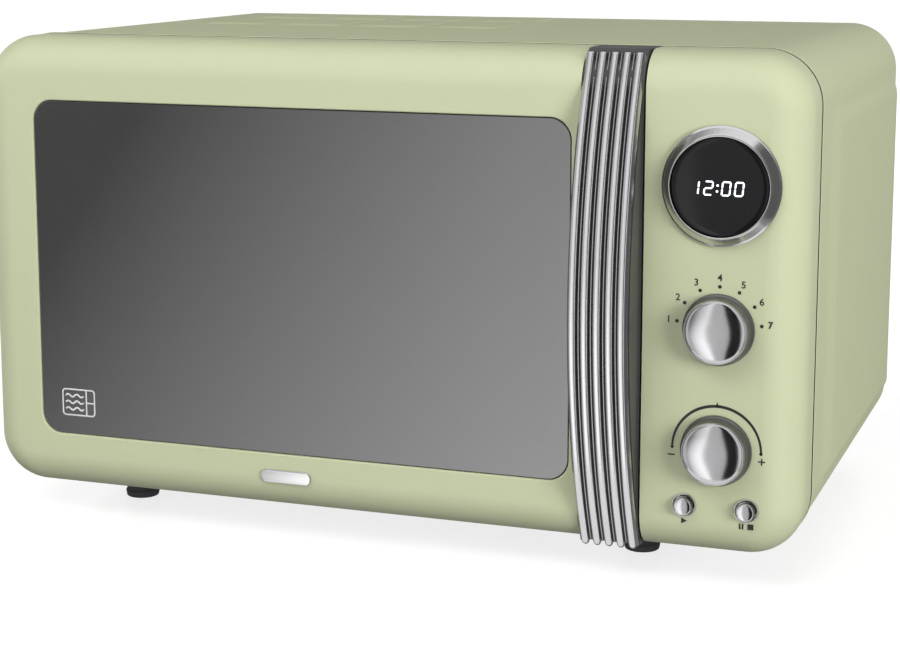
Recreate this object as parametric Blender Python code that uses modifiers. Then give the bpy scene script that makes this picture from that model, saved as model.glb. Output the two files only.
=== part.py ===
"""A retro counter-top microwave oven, as an assembly of separate parts in metres.

+X is the oven's right, +Y its back and +Z up. The origin is under the middle of the oven's box, on the surface
that its feet stand on. The door is shut, and every other moving piece is at rest.
"""

from math import cos, radians, sin, tau

import bmesh
import bpy
from mathutils import Matrix, Vector

# The whole oven
DEPTH = 0.332
FACE_WIDTH = 0.440
FACE_BOTTOM = 0.016
FACE_TOP = 0.258
FACE_THICK = 0.033
FACE_CORNER = 0.027
FACE_EDGE = 0.019
HANDLE_RISE = 0.023
REAR_SPACE = 0.016
GAP = 0.0003
SHEET = 0.001
WALL = 0.0025

# Planes across the depth
FACE_Y = -DEPTH / 2 + HANDLE_RISE
SEAM_Y = FACE_Y + FACE_THICK
BACK_Y = DEPTH / 2 - REAR_SPACE
DOOR_REAR_Y = SEAM_Y - GAP
FRAME_REAR_Y = SEAM_Y + SHEET
CASE_Y = FRAME_REAR_Y + GAP

# Door and control panel
FACE_LEFT = -FACE_WIDTH / 2
FACE_RIGHT = FACE_WIDTH / 2
DOOR_RIGHT = 0.142
PANEL_LEFT = DOOR_RIGHT + SHEET
FRAME_RIGHT = 0.1115
WINDOW_LEFT, WINDOW_RIGHT = -0.187, 0.107
WINDOW_BOTTOM, WINDOW_TOP = 0.0467, 0.2252
WINDOW_CORNER = 0.011
GLASS_RECESS = 0.0008
GLASS_THICK = 0.003
HINGE_X = FACE_LEFT + 0.012
HINGE_Y = SEAM_Y - 0.0135
HINGE_ROUND = 0.0115
LUG_THICK = 0.002
LUG_Z = (0.037, 0.237)
LUG_HALF = 0.004
PIN_RADIUS = 0.0025
PIN_DEPTH = 0.006
BOSS_RADIUS = 0.0045
BOSS_LENGTH = 0.008

# Handle
HANDLE_WIDTH = 0.030
HANDLE_BOTTOM, HANDLE_TOP = 0.0140, 0.2570
HANDLE_BOW = 0.0285
TRIM_THICK = 0.004
RIDGES = 5
# The hollow behind the handle's bow that the fingers reach into
SCOOP_DEPTH = 0.0125
SCOOP_Z = (0.095, 0.176)
SCOOP_WALL = 0.011
SCOOP_CORNER = 0.006

# Controls on the panel
CONTROL_X = 0.180
DISPLAY_Z = 0.196
DISPLAY_RADIUS = 0.0285
DISPLAY_RISE = 0.0065
DISPLAY_RIM = 0.0022
LENS_RADIUS = 0.0232
LENS_FRONT = 0.0058
LENS_BACK = -0.0040
SELECTOR_Z = 0.128
TIMER_Z = 0.0695
KNOB_RADIUS = 0.0173
KNOB_FACE = 0.0150
KNOB_HEIGHT = 0.011
KNOB_SOCKET = 0.0075
BUTTON_Z = 0.0412
BUTTON_SPREAD = 0.0151
BUTTON_RADIUS = 0.0046
BUTTON_TRAVEL = 0.0015
BOARD_Y = SEAM_Y - 0.015
BOARD_THICK = 0.0016

# Case and base
CASE_HALF = 0.2198
CASE_TOP = 0.2578
CASE_CORNER = 0.0268
CASE_FOLD = 0.0268
CASE_BOTTOM = FACE_BOTTOM + GAP
BASE_HALF = 0.197
SIDE_EMBOSS = 0.002
TOP_EMBOSS = 0.001
FOOT_RADIUS = 0.010
FOOT_PLACES = {
    "foot_front_left": (-0.157, -0.089),
    "foot_front_right": (0.131, -0.089),
    "foot_rear_left": (-0.165, 0.118),
    "foot_rear_right": (0.165, 0.118),
}

# Oven cavity and turntable
CAVITY_LEFT, CAVITY_RIGHT = -0.196, 0.110
CAVITY_FLOOR, CAVITY_TOP = 0.038, 0.243
CAVITY_BACK = 0.139
CAVITY_CORNER = 0.012
TABLE_X = (CAVITY_LEFT + CAVITY_RIGHT) / 2
TABLE_Y = (CAVITY_BACK + FRAME_REAR_Y) / 2
TRAY_RADIUS = 0.120
TRAY_RIM = 0.008
TRAY_THICK = 0.004
ROLLER_RADIUS = 0.0075
ROLLER_PATH = 0.092
ROLLERS = 3
ROLLER_Z = CAVITY_FLOOR + GAP + ROLLER_RADIUS
TRAY_Z = ROLLER_Z + ROLLER_RADIUS + GAP

# Component bay, right of the cavity
BAY_LEFT = CAVITY_RIGHT + SHEET + GAP
BASE_TOP = CASE_BOTTOM + SHEET
BAY_FLOOR = BASE_TOP + GAP
WAVEGUIDE_LOW = Vector((BAY_LEFT, -0.030, 0.158))
WAVEGUIDE_HIGH = Vector((0.146, 0.066, 0.228))
FAN_X, FAN_Z = 0.164, 0.126
FAN_RADIUS = 0.044
FAN_Y = 0.126
LATCH_X = 0.129
LATCH_HOOKS = (0.078, 0.188)

# Colours, with roughness and metallic values
LOOKS = {
    "green_enamel": ((0.56, 0.60, 0.42), 0.35, 0.0),
    "green_plastic": ((0.58, 0.62, 0.43), 0.32, 0.0),
    "grey_glass": ((0.14, 0.14, 0.14), 0.08, 0.0),
    "clear_glass": ((0.80, 0.86, 0.84), 0.05, 0.0),
    "chrome": ((0.78, 0.78, 0.78), 0.15, 1.0),
    "dark_plastic": ((0.035, 0.035, 0.035), 0.40, 0.0),
    "white_plastic": ((0.80, 0.79, 0.75), 0.45, 0.0),
    "galvanised": ((0.60, 0.62, 0.63), 0.40, 0.9),
    "painted_steel": ((0.66, 0.66, 0.63), 0.45, 0.0),
    "steel": ((0.55, 0.56, 0.58), 0.30, 1.0),
    "board": ((0.30, 0.20, 0.08), 0.55, 0.0),
    "rubber": ((0.02, 0.02, 0.02), 0.70, 0.0),
    "mica": ((0.62, 0.55, 0.42), 0.60, 0.0),
}


def clear_scene():
    for obj in list(bpy.data.objects):
        bpy.data.objects.remove(obj, do_unlink=True)


def new_collection(name, hidden=False):
    made = bpy.data.collections.new(name)
    made.hide_render = hidden
    bpy.context.scene.collection.children.link(made)
    return made


clear_scene()
PARTS = new_collection("microwave_oven")
CUTTERS = new_collection("cutters", hidden=True)


def material(name):
    made = bpy.data.materials.get(name)
    if made:
        return made
    made = bpy.data.materials.new(name)
    made.use_nodes = True
    shader = made.node_tree.nodes["Principled BSDF"]
    colour, roughness, metallic = LOOKS[name]
    shader.inputs["Base Color"].default_value = (*colour, 1.0)
    shader.inputs["Roughness"].default_value = roughness
    shader.inputs["Metallic"].default_value = metallic
    return made


def keep(mesh, name, look):
    """The mesh as an object: a part with the named look, or a tool for a Boolean where the look is None."""
    obj = bpy.data.objects.new(name, mesh)
    if look is None:
        CUTTERS.objects.link(obj)
        obj.hide_render = True
        obj.display_type = "WIRE"
    else:
        PARTS.objects.link(obj)
        mesh.materials.append(material(look))
    return obj


def mesh_from(bm, name):
    mesh = bpy.data.meshes.new(name)
    bm.to_mesh(mesh)
    bm.free()
    return mesh


def cube_between(low, high):
    low, high = Vector(low), Vector(high)
    bm = bmesh.new()
    bmesh.ops.create_cube(bm, size=1.0)
    bmesh.ops.scale(bm, vec=high - low, verts=bm.verts)
    bmesh.ops.translate(bm, vec=(low + high) / 2, verts=bm.verts)
    return bm


def round_edges(bm, edges, radius, segments):
    bmesh.ops.bevel(
        bm, geom=list(edges), offset=radius, segments=segments, profile=0.5, affect="EDGES"
    )


def block(name, low, high, look=None, bevel=0.0):
    """A box between two corners, with its edges rounded where a bevel is given."""
    bm = cube_between(low, high)
    if bevel:
        round_edges(bm, bm.edges, bevel, 2)
    return keep(mesh_from(bm, name), name, look)


def slab(name, low, high, look=None, corner=0.0, foot_corner=None, front_edge=0.0, segments=6):
    """A box with its four edges along Y rounded, and then the rim of its front face."""
    bm = cube_between(low, high)
    middle = (low[2] + high[2]) / 2
    foot_corner = corner if foot_corner is None else foot_corner
    for radius, upper in ((corner, True), (foot_corner, False)):
        along_y = [
            edge
            for edge in bm.edges
            if abs(edge.verts[0].co.y - edge.verts[1].co.y) > GAP
            and (edge.verts[0].co.z > middle) == upper
            and abs(edge.verts[0].co.x - edge.verts[1].co.x) < GAP
            and abs(edge.verts[0].co.z - edge.verts[1].co.z) < GAP
        ]
        if radius:
            round_edges(bm, along_y[:2], radius, segments)
    if front_edge:
        rim = [edge for edge in bm.edges if all(v.co.y < low[1] + GAP / 10 for v in edge.verts)]
        round_edges(bm, rim, front_edge, 4)
    return keep(mesh_from(bm, name), name, look)


def turn_to(axis):
    """The rotation that carries local +Z to the axis."""
    return Vector((0, 0, 1)).rotation_difference(Vector(axis)).to_matrix().to_4x4()


def rod(name, centre, radius, length, axis=(0, 0, 1), look=None, sides=24):
    """A cylinder about an axis through its centre."""
    bm = bmesh.new()
    bmesh.ops.create_cone(
        bm, cap_ends=True, segments=sides, radius1=radius, radius2=radius, depth=length
    )
    obj = keep(mesh_from(bm, name), name, look)
    obj.matrix_world = Matrix.Translation(Vector(centre)) @ turn_to(axis)
    return obj


def turned(name, profile, centre, axis=(0, 0, 1), look=None, steps=32, closed=False):
    """A solid of revolution: the (radius, height) points run down the outer side, top to bottom."""
    bm = bmesh.new()
    points = [bm.verts.new((radius, 0.0, height)) for radius, height in profile]
    for first, second in zip(points, points[1:]):
        bm.edges.new((first, second))
    if closed:
        bm.edges.new((points[-1], points[0]))
    obj = keep(mesh_from(bm, name), name, look)
    screw = obj.modifiers.new("turn", "SCREW")
    screw.axis = "Z"
    screw.angle = tau
    screw.steps = steps
    screw.render_steps = steps
    screw.use_merge_vertices = True
    screw.merge_threshold = 0.00001
    obj.matrix_world = Matrix.Translation(Vector(centre)) @ turn_to(axis)
    return obj


def boolean(target, tool, operation):
    modifier = target.modifiers.new(tool.name, "BOOLEAN")
    modifier.operation = operation
    modifier.solver = "EXACT"
    modifier.object = tool


def cut(target, *tools):
    for tool in tools:
        boolean(target, tool, "DIFFERENCE")


def join(target, *tools):
    for tool in tools:
        boolean(target, tool, "UNION")


def repeat(obj, count, step):
    array = obj.modifiers.new("repeat", "ARRAY")
    array.count = count
    array.use_relative_offset = False
    array.use_constant_offset = True
    array.constant_offset_displace = step
    return obj


def put_origin(obj, point):
    """Moves the object's origin to the point, and leaves the shape where it is."""
    shift = obj.matrix_world.inverted() @ Vector(point)
    obj.data.transform(Matrix.Translation(-shift))
    obj.matrix_world = obj.matrix_world @ Matrix.Translation(shift)


def hang_on(name, point, *children):
    """An empty on a joint's axis, with the pieces that move about it parented to it."""
    pivot = bpy.data.objects.new(name, None)
    pivot.location = point
    PARTS.objects.link(pivot)
    for child in children:
        put_origin(child, point)
        child.parent = pivot
        child.matrix_parent_inverse = Matrix.Translation(-Vector(point))
    return pivot


def pad(name, low, high, slopes, face):
    """A raised panel whose face, '+X', '-X' or '+Z', is smaller than its foot by the slopes on its four sides."""
    bm = cube_between(low, high)
    axis = "XYZ".index(face[1])
    level = high[axis] if face[0] == "+" else low[axis]
    across = [index for index in range(3) if index != axis]
    for vert in bm.verts:
        if abs(vert.co[axis] - level) > GAP / 10:
            continue
        for place, (near, far) in zip(across, slopes):
            at_low = abs(vert.co[place] - low[place]) < GAP / 10
            vert.co[place] += near if at_low else -far
    return keep(mesh_from(bm, name), name, None)


def make_outer_cover():
    """The steel wrap: open at the front, the back and underneath, with raised panels on its sides and top."""
    cover = slab(
        "outer_cover",
        (-CASE_HALF, CASE_Y, CASE_BOTTOM),
        (CASE_HALF, BACK_Y - SHEET - GAP, CASE_TOP),
        "green_enamel",
        CASE_CORNER,
        CASE_FOLD,
    )
    overrun = 0.02
    inside = slab(
        "cover_inside",
        (-CASE_HALF + SHEET, CASE_Y - overrun, CASE_BOTTOM + SHEET),
        (CASE_HALF - SHEET, BACK_Y + overrun, CASE_TOP - SHEET),
        None,
        CASE_CORNER - SHEET,
        CASE_FOLD - SHEET,
    )
    mouth = block(
        "cover_mouth",
        (-BASE_HALF - GAP, CASE_Y - overrun, -overrun),
        (BASE_HALF + GAP, BACK_Y + overrun, BASE_TOP + SHEET),
    )
    cut(cover, inside, mouth)
    root = SHEET / 2
    low, high = (SEAM_Y + 0.036, FACE_BOTTOM + 0.022), (BACK_Y - 0.010, FACE_BOTTOM + 0.212)
    slopes = ((0.050, 0.004), (0.009, 0.016))
    right = pad(
        "right_emboss",
        (CASE_HALF - root, *low),
        (CASE_HALF + SIDE_EMBOSS, *high),
        slopes,
        "+X",
    )
    left = pad(
        "left_emboss",
        (-CASE_HALF - SIDE_EMBOSS, *low),
        (-CASE_HALF + root, *high),
        slopes,
        "-X",
    )
    join(cover, right, left)
    for row, (near, far) in enumerate(((0.120, 0.176), (0.192, 0.243))):
        for column in range(4):
            start = -0.164 + 0.0475 * column
            top = pad(
                f"top_emboss_{row}_{column}",
                (start, SEAM_Y + near, CASE_TOP - root),
                (start + 0.040, SEAM_Y + far, CASE_TOP + TOP_EMBOSS),
                ((0.004, 0.004), (0.004, 0.004)),
                "+Z",
            )
            join(cover, top)


def make_base_plate():
    plate = block(
        "base_plate",
        (-BASE_HALF, CASE_Y, CASE_BOTTOM),
        (BASE_HALF, BACK_Y - SHEET - GAP, BASE_TOP),
        "galvanised",
    )
    slot = block("base_slot", (0.130, 0.020, 0.010), (0.180, 0.023, 0.025))
    cut(plate, repeat(slot, 5, (0, 0.008, 0)))


def make_back_panel():
    panel = slab(
        "back_panel",
        (-CASE_HALF, BACK_Y - SHEET, CASE_BOTTOM),
        (CASE_HALF, BACK_Y, CASE_TOP),
        "galvanised",
        CASE_CORNER,
        CASE_FOLD,
    )
    reach = 0.005
    intake = block(
        "intake_slot",
        (FAN_X - 0.030, BACK_Y - reach, FAN_Z - 0.032),
        (FAN_X + 0.030, BACK_Y + reach, FAN_Z - 0.028),
    )
    exhaust = block(
        "exhaust_slot",
        (-0.170, BACK_Y - reach, 0.214),
        (-0.130, BACK_Y + reach, 0.218),
    )
    cable = rod("cable_hole", (0.150, BACK_Y, 0.046), 0.0075, 0.02, (0, 1, 0))
    cut(panel, repeat(intake, 9, (0, 0, 0.0075)), repeat(exhaust, 4, (0, 0, 0.0075)), cable)


def make_front_frame():
    """The steel plate that the cavity and the component bay end in, and that the shut door lies against."""
    inset = 0.0015
    plate = slab(
        "front_frame",
        (FACE_LEFT + inset, SEAM_Y, FACE_BOTTOM + inset),
        (FACE_RIGHT - inset, FRAME_REAR_Y, FACE_TOP - inset),
        "painted_steel",
        FACE_CORNER - inset,
    )
    opening = slab(
        "frame_opening",
        (CAVITY_LEFT, SEAM_Y - WALL, CAVITY_FLOOR),
        (CAVITY_RIGHT, FRAME_REAR_Y + WALL, CAVITY_TOP),
        None,
        CAVITY_CORNER,
    )
    wiring = block(
        "wiring_opening",
        (0.156, SEAM_Y - WALL, 0.060),
        (0.206, FRAME_REAR_Y + WALL, 0.225),
    )
    cut(plate, opening, wiring)
    for index, height in enumerate(LATCH_HOOKS):
        slot = block(
            f"frame_latch_slot_{index}",
            (LATCH_X - 0.006, SEAM_Y - WALL, height - 0.013),
            (LATCH_X + 0.006, FRAME_REAR_Y + WALL, height + 0.013),
        )
        cut(plate, slot)
    for index, height in enumerate(LUG_Z):
        notch = block(
            f"frame_lug_notch_{index}",
            (HINGE_X - LUG_HALF - GAP, SEAM_Y - WALL, height - LUG_THICK / 2 - GAP),
            (HINGE_X + LUG_HALF + GAP, FRAME_REAR_Y + WALL, height + LUG_THICK / 2 + GAP),
        )
        cut(plate, notch)


def make_cavity():
    """The oven box: open at the front, with a hole in its floor for the drive and a feed hole in its right wall."""
    front = FRAME_REAR_Y + GAP
    box = slab(
        "cavity",
        (CAVITY_LEFT - SHEET, front, CAVITY_FLOOR - SHEET),
        (CAVITY_RIGHT + SHEET, CAVITY_BACK + SHEET, CAVITY_TOP + SHEET),
        "painted_steel",
        CAVITY_CORNER + SHEET,
        segments=4,
    )
    inside = slab(
        "cavity_inside",
        (CAVITY_LEFT, front - 0.01, CAVITY_FLOOR),
        (CAVITY_RIGHT, CAVITY_BACK, CAVITY_TOP),
        None,
        CAVITY_CORNER,
        segments=4,
    )
    drive = rod("drive_hole", (TABLE_X, TABLE_Y, CAVITY_FLOOR), 0.006, 0.01)
    margin = Vector((0.010, 0.012, 0.012))
    feed = block(
        "feed_hole",
        (CAVITY_RIGHT - 0.005, WAVEGUIDE_LOW.y + margin.y, WAVEGUIDE_LOW.z + margin.z),
        (CAVITY_RIGHT + 0.005, WAVEGUIDE_HIGH.y - margin.y, WAVEGUIDE_HIGH.z - margin.z),
    )
    lamp = rod("lamp_hole", (CAVITY_RIGHT, -0.070, 0.215), 0.008, 0.01, (1, 0, 0), sides=16)
    cut(box, inside, drive, feed, lamp)


def make_feet():
    """Four moulded feet, wider at the base plate than at the floor."""
    height = CASE_BOTTOM - GAP
    profile = [
        (0.0, height),
        (FOOT_RADIUS, height),
        (FOOT_RADIUS, height - 0.003),
        (FOOT_RADIUS - 0.001, 0.001),
        (FOOT_RADIUS - 0.002, 0.0),
        (0.0, 0.0),
    ]
    for name, (x, y) in FOOT_PLACES.items():
        turned(name, profile, (x, y, 0.0), look="rubber", steps=20)


def make_rear_spacers():
    """Two stubs that hold the oven off the wall behind it."""
    length = REAR_SPACE - GAP
    profile = [(0.0, length), (0.006, length), (0.008, length - 0.002), (0.011, 0.0), (0.0, 0.0)]
    for name, x in (("rear_spacer_left", -0.185), ("rear_spacer_right", 0.185)):
        turned(name, profile, (x, BACK_Y + GAP, 0.200), (0, 1, 0), "dark_plastic", 16)


def make_cord_gland():
    """The mains cord's inlet: a flanged bush that clips into the back panel, bored through for the cord."""
    bore, flange, neck, proud = 0.0037, 0.011, 0.0071, 0.009
    profile = [
        (bore, proud),
        (0.0075, proud),
        (flange, 0.004),
        (flange, GAP),
        (neck, GAP),
        (neck, -SHEET - GAP - 0.003),
        (bore, -SHEET - GAP - 0.003),
    ]
    turned("cord_gland", profile, (0.150, BACK_Y, 0.046), (0, 1, 0), "dark_plastic", 16, True)


def make_face_slab(name, look):
    """The rounded front of the oven, before it is parted into door and panel."""
    return slab(
        name,
        (FACE_LEFT, FACE_Y, FACE_BOTTOM),
        (FACE_RIGHT, DOOR_REAR_Y, FACE_TOP),
        look,
        FACE_CORNER,
        front_edge=FACE_EDGE,
        segments=6,
    )


def make_face_part(name, look, left, right):
    """The stretch of the oven's rounded front between two planes across it."""
    part = make_face_slab(name, look)
    far = 0.1
    keep_block = block(
        name + "_stretch", (left, FACE_Y - far, -far), (right, SEAM_Y + far, FACE_TOP + far)
    )
    boolean(part, keep_block, "INTERSECT")
    return part


def make_face_hollow(name, left, right):
    """The inside of such a stretch, open at the back, for a Boolean to cut."""
    far = 0.1
    hollow = slab(
        name,
        (FACE_LEFT + WALL, FACE_Y + WALL, FACE_BOTTOM + WALL),
        (FACE_RIGHT - WALL, SEAM_Y + WALL, FACE_TOP - WALL),
        None,
        FACE_CORNER - WALL,
        front_edge=FACE_EDGE - WALL,
        segments=5,
    )
    stretch = block(name + "_stretch", (left, FACE_Y - far, -far), (right, SEAM_Y + far, FACE_TOP + far))
    boolean(hollow, stretch, "INTERSECT")
    return hollow


def make_control_panel():
    """The moulded panel right of the door, hollow behind, with holes for the display, knobs and buttons."""
    panel = make_face_part("control_panel", "green_plastic", PANEL_LEFT, FACE_RIGHT + WALL)
    cut(panel, make_face_hollow("panel_hollow", PANEL_LEFT + WALL, FACE_RIGHT))
    reach = 0.02
    holes = [
        ("display_hole", CONTROL_X, DISPLAY_Z, 0.0235),
        ("selector_hole", CONTROL_X, SELECTOR_Z, 0.0042),
        ("timer_hole", CONTROL_X, TIMER_Z, 0.0042),
        ("start_hole", CONTROL_X - BUTTON_SPREAD, BUTTON_Z, BUTTON_RADIUS + GAP),
        ("stop_hole", CONTROL_X + BUTTON_SPREAD, BUTTON_Z, BUTTON_RADIUS + GAP),
    ]
    for name, x, z, radius in holes:
        cut(panel, rod(name, (x, FACE_Y, z), radius, reach, (0, 1, 0), sides=32))


def make_display():
    """The chrome ring, a cone that rises to its inner edge, and the dark lens that it holds."""
    inner = LENS_RADIUS + GAP
    lip = 0.0009
    profile = [
        (inner, DISPLAY_RISE - lip),
        (inner + lip / 2, DISPLAY_RISE),
        (inner + lip, DISPLAY_RISE - lip / 2),
        (DISPLAY_RADIUS - lip, DISPLAY_RIM + lip / 2),
        (DISPLAY_RADIUS, DISPLAY_RIM - lip / 2),
        (DISPLAY_RADIUS, GAP),
        (inner, GAP),
    ]
    centre = (CONTROL_X, FACE_Y, DISPLAY_Z)
    turned("display_bezel", profile, centre, (0, -1, 0), "chrome", 36, True)
    dome = 0.0012
    window = [
        (0.0, LENS_FRONT),
        (LENS_RADIUS * 0.65, LENS_FRONT - dome * 0.42),
        (LENS_RADIUS - lip, LENS_FRONT - dome),
        (LENS_RADIUS, LENS_FRONT - dome - lip / 2),
        (LENS_RADIUS, LENS_BACK),
        (0.0, LENS_BACK),
    ]
    turned("display_window", window, centre, (0, -1, 0), "grey_glass", 36)


def make_control_board():
    """The circuit board behind the panel, with its display block."""
    board = block(
        "control_board",
        (0.152, BOARD_Y, 0.032),
        (0.212, BOARD_Y + BOARD_THICK, 0.236),
        "board",
    )
    digits = block(
        "digit_block",
        (CONTROL_X - 0.016, FACE_Y + 0.0045, DISPLAY_Z - 0.008),
        (CONTROL_X + 0.016, BOARD_Y + BOARD_THICK / 2, DISPLAY_Z + 0.008),
    )
    relay = block(
        "relay",
        (0.158, BOARD_Y + BOARD_THICK / 2, 0.150),
        (0.176, BOARD_Y + 0.013, 0.164),
    )
    join(board, digits, relay)


def make_encoder(name, z):
    """A rotary encoder on the board, with its threaded neck."""
    front = BOARD_Y - GAP
    depth = 0.0065
    body = block(
        name,
        (CONTROL_X - 0.006, front - depth, z - 0.006),
        (CONTROL_X + 0.006, front, z + 0.006),
        "steel",
    )
    bore = rod(
        name + "_bore",
        (CONTROL_X, front - depth, z),
        0.0031 + GAP / 2,
        0.008,
        (0, 1, 0),
        sides=16,
    )
    cut(body, bore)


def knob_profile():
    """A low domed face on a flared skirt, hollow behind."""
    rise = KNOB_HEIGHT
    dome = [
        (KNOB_FACE * sin(radians(angle)), rise - 0.0022 * (1 - cos(radians(angle))))
        for angle in (0, 45, 90)
    ]
    skirt = [
        (KNOB_FACE + 0.0006, rise - 0.0045),
        (KNOB_RADIUS - 0.001, 0.004),
        (KNOB_RADIUS, 0.0025),
        (KNOB_RADIUS, 0.0008),
        (KNOB_RADIUS - 0.002, 0.0008),
        (KNOB_FACE - 0.0022, rise - 0.005),
        (0.006, rise - 0.005),
        (0.0052, 0.0014),
    ]
    return dome + skirt


def make_selector_knob():
    """The upper knob and its shaft, which turn together."""
    centre = (CONTROL_X, FACE_Y, SELECTOR_Z)
    inner_end = FACE_Y - (BOARD_Y - GAP - 0.004)
    profile = knob_profile() + [(0.0030, 0.0014), (0.0030, inner_end), (0.0, inner_end)]
    knob = turned("selector_knob", profile, centre, (0, -1, 0), "chrome", 28)
    hang_on("selector_axis", centre, knob)


def make_timer_knob():
    """The lower knob, which turns on a shaft that can be pressed in."""
    centre = (CONTROL_X, FACE_Y, TIMER_Z)
    socket = 0.0021
    profile = knob_profile() + [(socket, 0.0014), (socket, KNOB_SOCKET), (0.0, KNOB_SOCKET)]
    knob = turned("timer_knob", profile, centre, (0, -1, 0), "chrome", 28)
    radius = socket - GAP / 2
    tip = KNOB_SOCKET - GAP
    collar = 0.0030
    shoulder = -0.004
    inner_end = FACE_Y - (BOARD_Y - GAP - 0.004)
    stem = [
        (0.0, tip),
        (radius, tip),
        (radius, shoulder),
        (collar, shoulder),
        (collar, inner_end),
        (0.0, inner_end),
    ]
    shaft = turned("timer_shaft", stem, centre, (0, -1, 0), "steel", 16)
    hang_on("timer_axis", centre, knob, shaft)


def make_button(name, x):
    """A chrome dome on a flanged stem, and the small switch that it presses."""
    centre = (x, FACE_Y, BUTTON_Z)
    board = BOARD_Y - FACE_Y
    switch_height = 0.0045
    flange_back = -board + switch_height + BUTTON_TRAVEL + 2 * GAP
    profile = [
        (0.0, 0.0042),
        (0.0022, 0.0039),
        (0.0038, 0.0029),
        (BUTTON_RADIUS, 0.0012),
        (BUTTON_RADIUS, -WALL - GAP),
        (BUTTON_RADIUS + 0.0015, -WALL - GAP),
        (BUTTON_RADIUS + 0.0015, -WALL - 0.0015),
        (0.0020, -WALL - 0.0015),
        (0.0020, flange_back),
        (0.0, flange_back),
    ]
    button = turned(name + "_button", profile, centre, (0, -1, 0), "chrome", 24)
    hang_on(name + "_slide", centre, button)
    block(
        name + "_switch",
        (x - 0.003, BOARD_Y - switch_height, BUTTON_Z - 0.003),
        (x + 0.003, BOARD_Y - GAP, BUTTON_Z + 0.003),
        "dark_plastic",
    )


def hinge_post(name, low, high, radius):
    """An upright cylinder on the door's hinge axis."""
    return rod(name, (HINGE_X, HINGE_Y, (low + high) / 2), radius, high - low, sides=24)


def make_door_frame():
    """The moulded door: a rounded front with a window opening, hollow behind, and round at its hinged edge."""
    frame = make_face_part("door_frame", "green_plastic", FACE_LEFT - WALL, FRAME_RIGHT)
    hollow = make_face_hollow("door_hollow", FACE_LEFT, FRAME_RIGHT - WALL)
    window = slab(
        "door_window",
        (WINDOW_LEFT, FACE_Y - WALL, WINDOW_BOTTOM),
        (WINDOW_RIGHT, FACE_Y + 2 * WALL, WINDOW_TOP),
        None,
        WINDOW_CORNER,
    )
    cut(frame, make_hinge_edge_cutter(), hollow, window, make_cover_recess("frame_recess"))
    for index, (height, outward) in enumerate(zip(LUG_Z, (-1, 1))):
        start = height + outward * (LUG_THICK / 2 + 2 * GAP)
        low, high = sorted((start, start + outward * BOSS_LENGTH))
        boss = hinge_post(f"hinge_boss_{index}", low, high, BOSS_RADIUS)
        web_end = start + outward * (BOSS_LENGTH + WALL)
        web_low, web_high = sorted((start + outward * SHEET, web_end))
        web = block(
            f"hinge_web_{index}",
            (HINGE_X - 0.003, HINGE_Y - 0.002, web_low),
            (HINGE_X + 0.002, HINGE_Y + 0.002, web_high),
        )
        low, high = sorted((start - outward * SHEET, start + outward * (PIN_DEPTH + GAP)))
        socket = hinge_post(f"hinge_socket_{index}", low, high, PIN_RADIUS + GAP / 2)
        slit = block(
            f"lug_slit_{index}",
            (FACE_LEFT - WALL, HINGE_Y - 2 * LUG_HALF, height - LUG_THICK / 2 - 2 * GAP),
            (HINGE_X + 2 * LUG_HALF, SEAM_Y + WALL, height + LUG_THICK / 2 + 2 * GAP),
        )
        join(frame, boss, web)
        cut(frame, socket, slit)
    return frame


def make_cover_recess(name):
    """Room for the choke's cover behind the walls where the green frame and the handle's column meet."""
    return block(
        name,
        (WINDOW_RIGHT, DOOR_REAR_Y - 0.0033, 0.0257),
        (DOOR_RIGHT - WALL, DOOR_REAR_Y + WALL, 0.2483),
    )


def make_hinge_edge_cutter():
    """What leaves the door's rear left edge round: the square corner less a post nearly on the hinge axis."""
    reach = 0.002
    corner = block(
        "hinge_edge",
        (FACE_LEFT - reach, HINGE_Y + reach, -reach),
        (FACE_LEFT + HINGE_ROUND, SEAM_Y + reach, FACE_TOP + reach),
    )
    post = rod(
        "hinge_round",
        (FACE_LEFT + HINGE_ROUND, DOOR_REAR_Y - HINGE_ROUND, FACE_TOP / 2),
        HINGE_ROUND,
        FACE_TOP * 2,
        sides=48,
    )
    cut(corner, post)
    return corner


def make_hinges():
    """Steel brackets behind the front frame, whose lugs reach into the door, and the pins that the door turns on."""
    pins = []
    for place, height, outward in (("lower", LUG_Z[0], -1), ("upper", LUG_Z[1], 1)):
        low, high = height - LUG_THICK / 2, height + LUG_THICK / 2
        lug = block(
            f"{place}_hinge_bracket",
            (HINGE_X - LUG_HALF, HINGE_Y - LUG_HALF, low),
            (HINGE_X + LUG_HALF, CASE_Y + 0.0010, high),
            "steel",
        )
        plate = block(
            f"{place}_bracket_plate",
            (HINGE_X - LUG_HALF - GAP, CASE_Y, height - 0.008),
            (HINGE_X + 0.0095, CASE_Y + 0.0015, height + 0.008),
        )
        eye = hinge_post(f"{place}_lug_eye", low - GAP, high + GAP, PIN_RADIUS + GAP / 2)
        join(lug, plate)
        cut(lug, eye)
        into_boss = LUG_THICK / 2 + 2 * GAP + PIN_DEPTH
        ends = sorted((height - outward * 2 * LUG_THICK, height + outward * into_boss))
        pin = rod(
            f"{place}_hinge_pin",
            (HINGE_X, HINGE_Y, sum(ends) / 2),
            PIN_RADIUS,
            ends[1] - ends[0],
            look="steel",
        )
        pins.append(pin)
    return pins


def make_door_glass():
    return slab(
        "door_glass",
        (WINDOW_LEFT + GAP, FACE_Y + GLASS_RECESS, WINDOW_BOTTOM + GAP),
        (WINDOW_RIGHT - GAP, FACE_Y + GLASS_RECESS + GLASS_THICK, WINDOW_TOP - GAP),
        "grey_glass",
        WINDOW_CORNER - GAP,
    )


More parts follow.
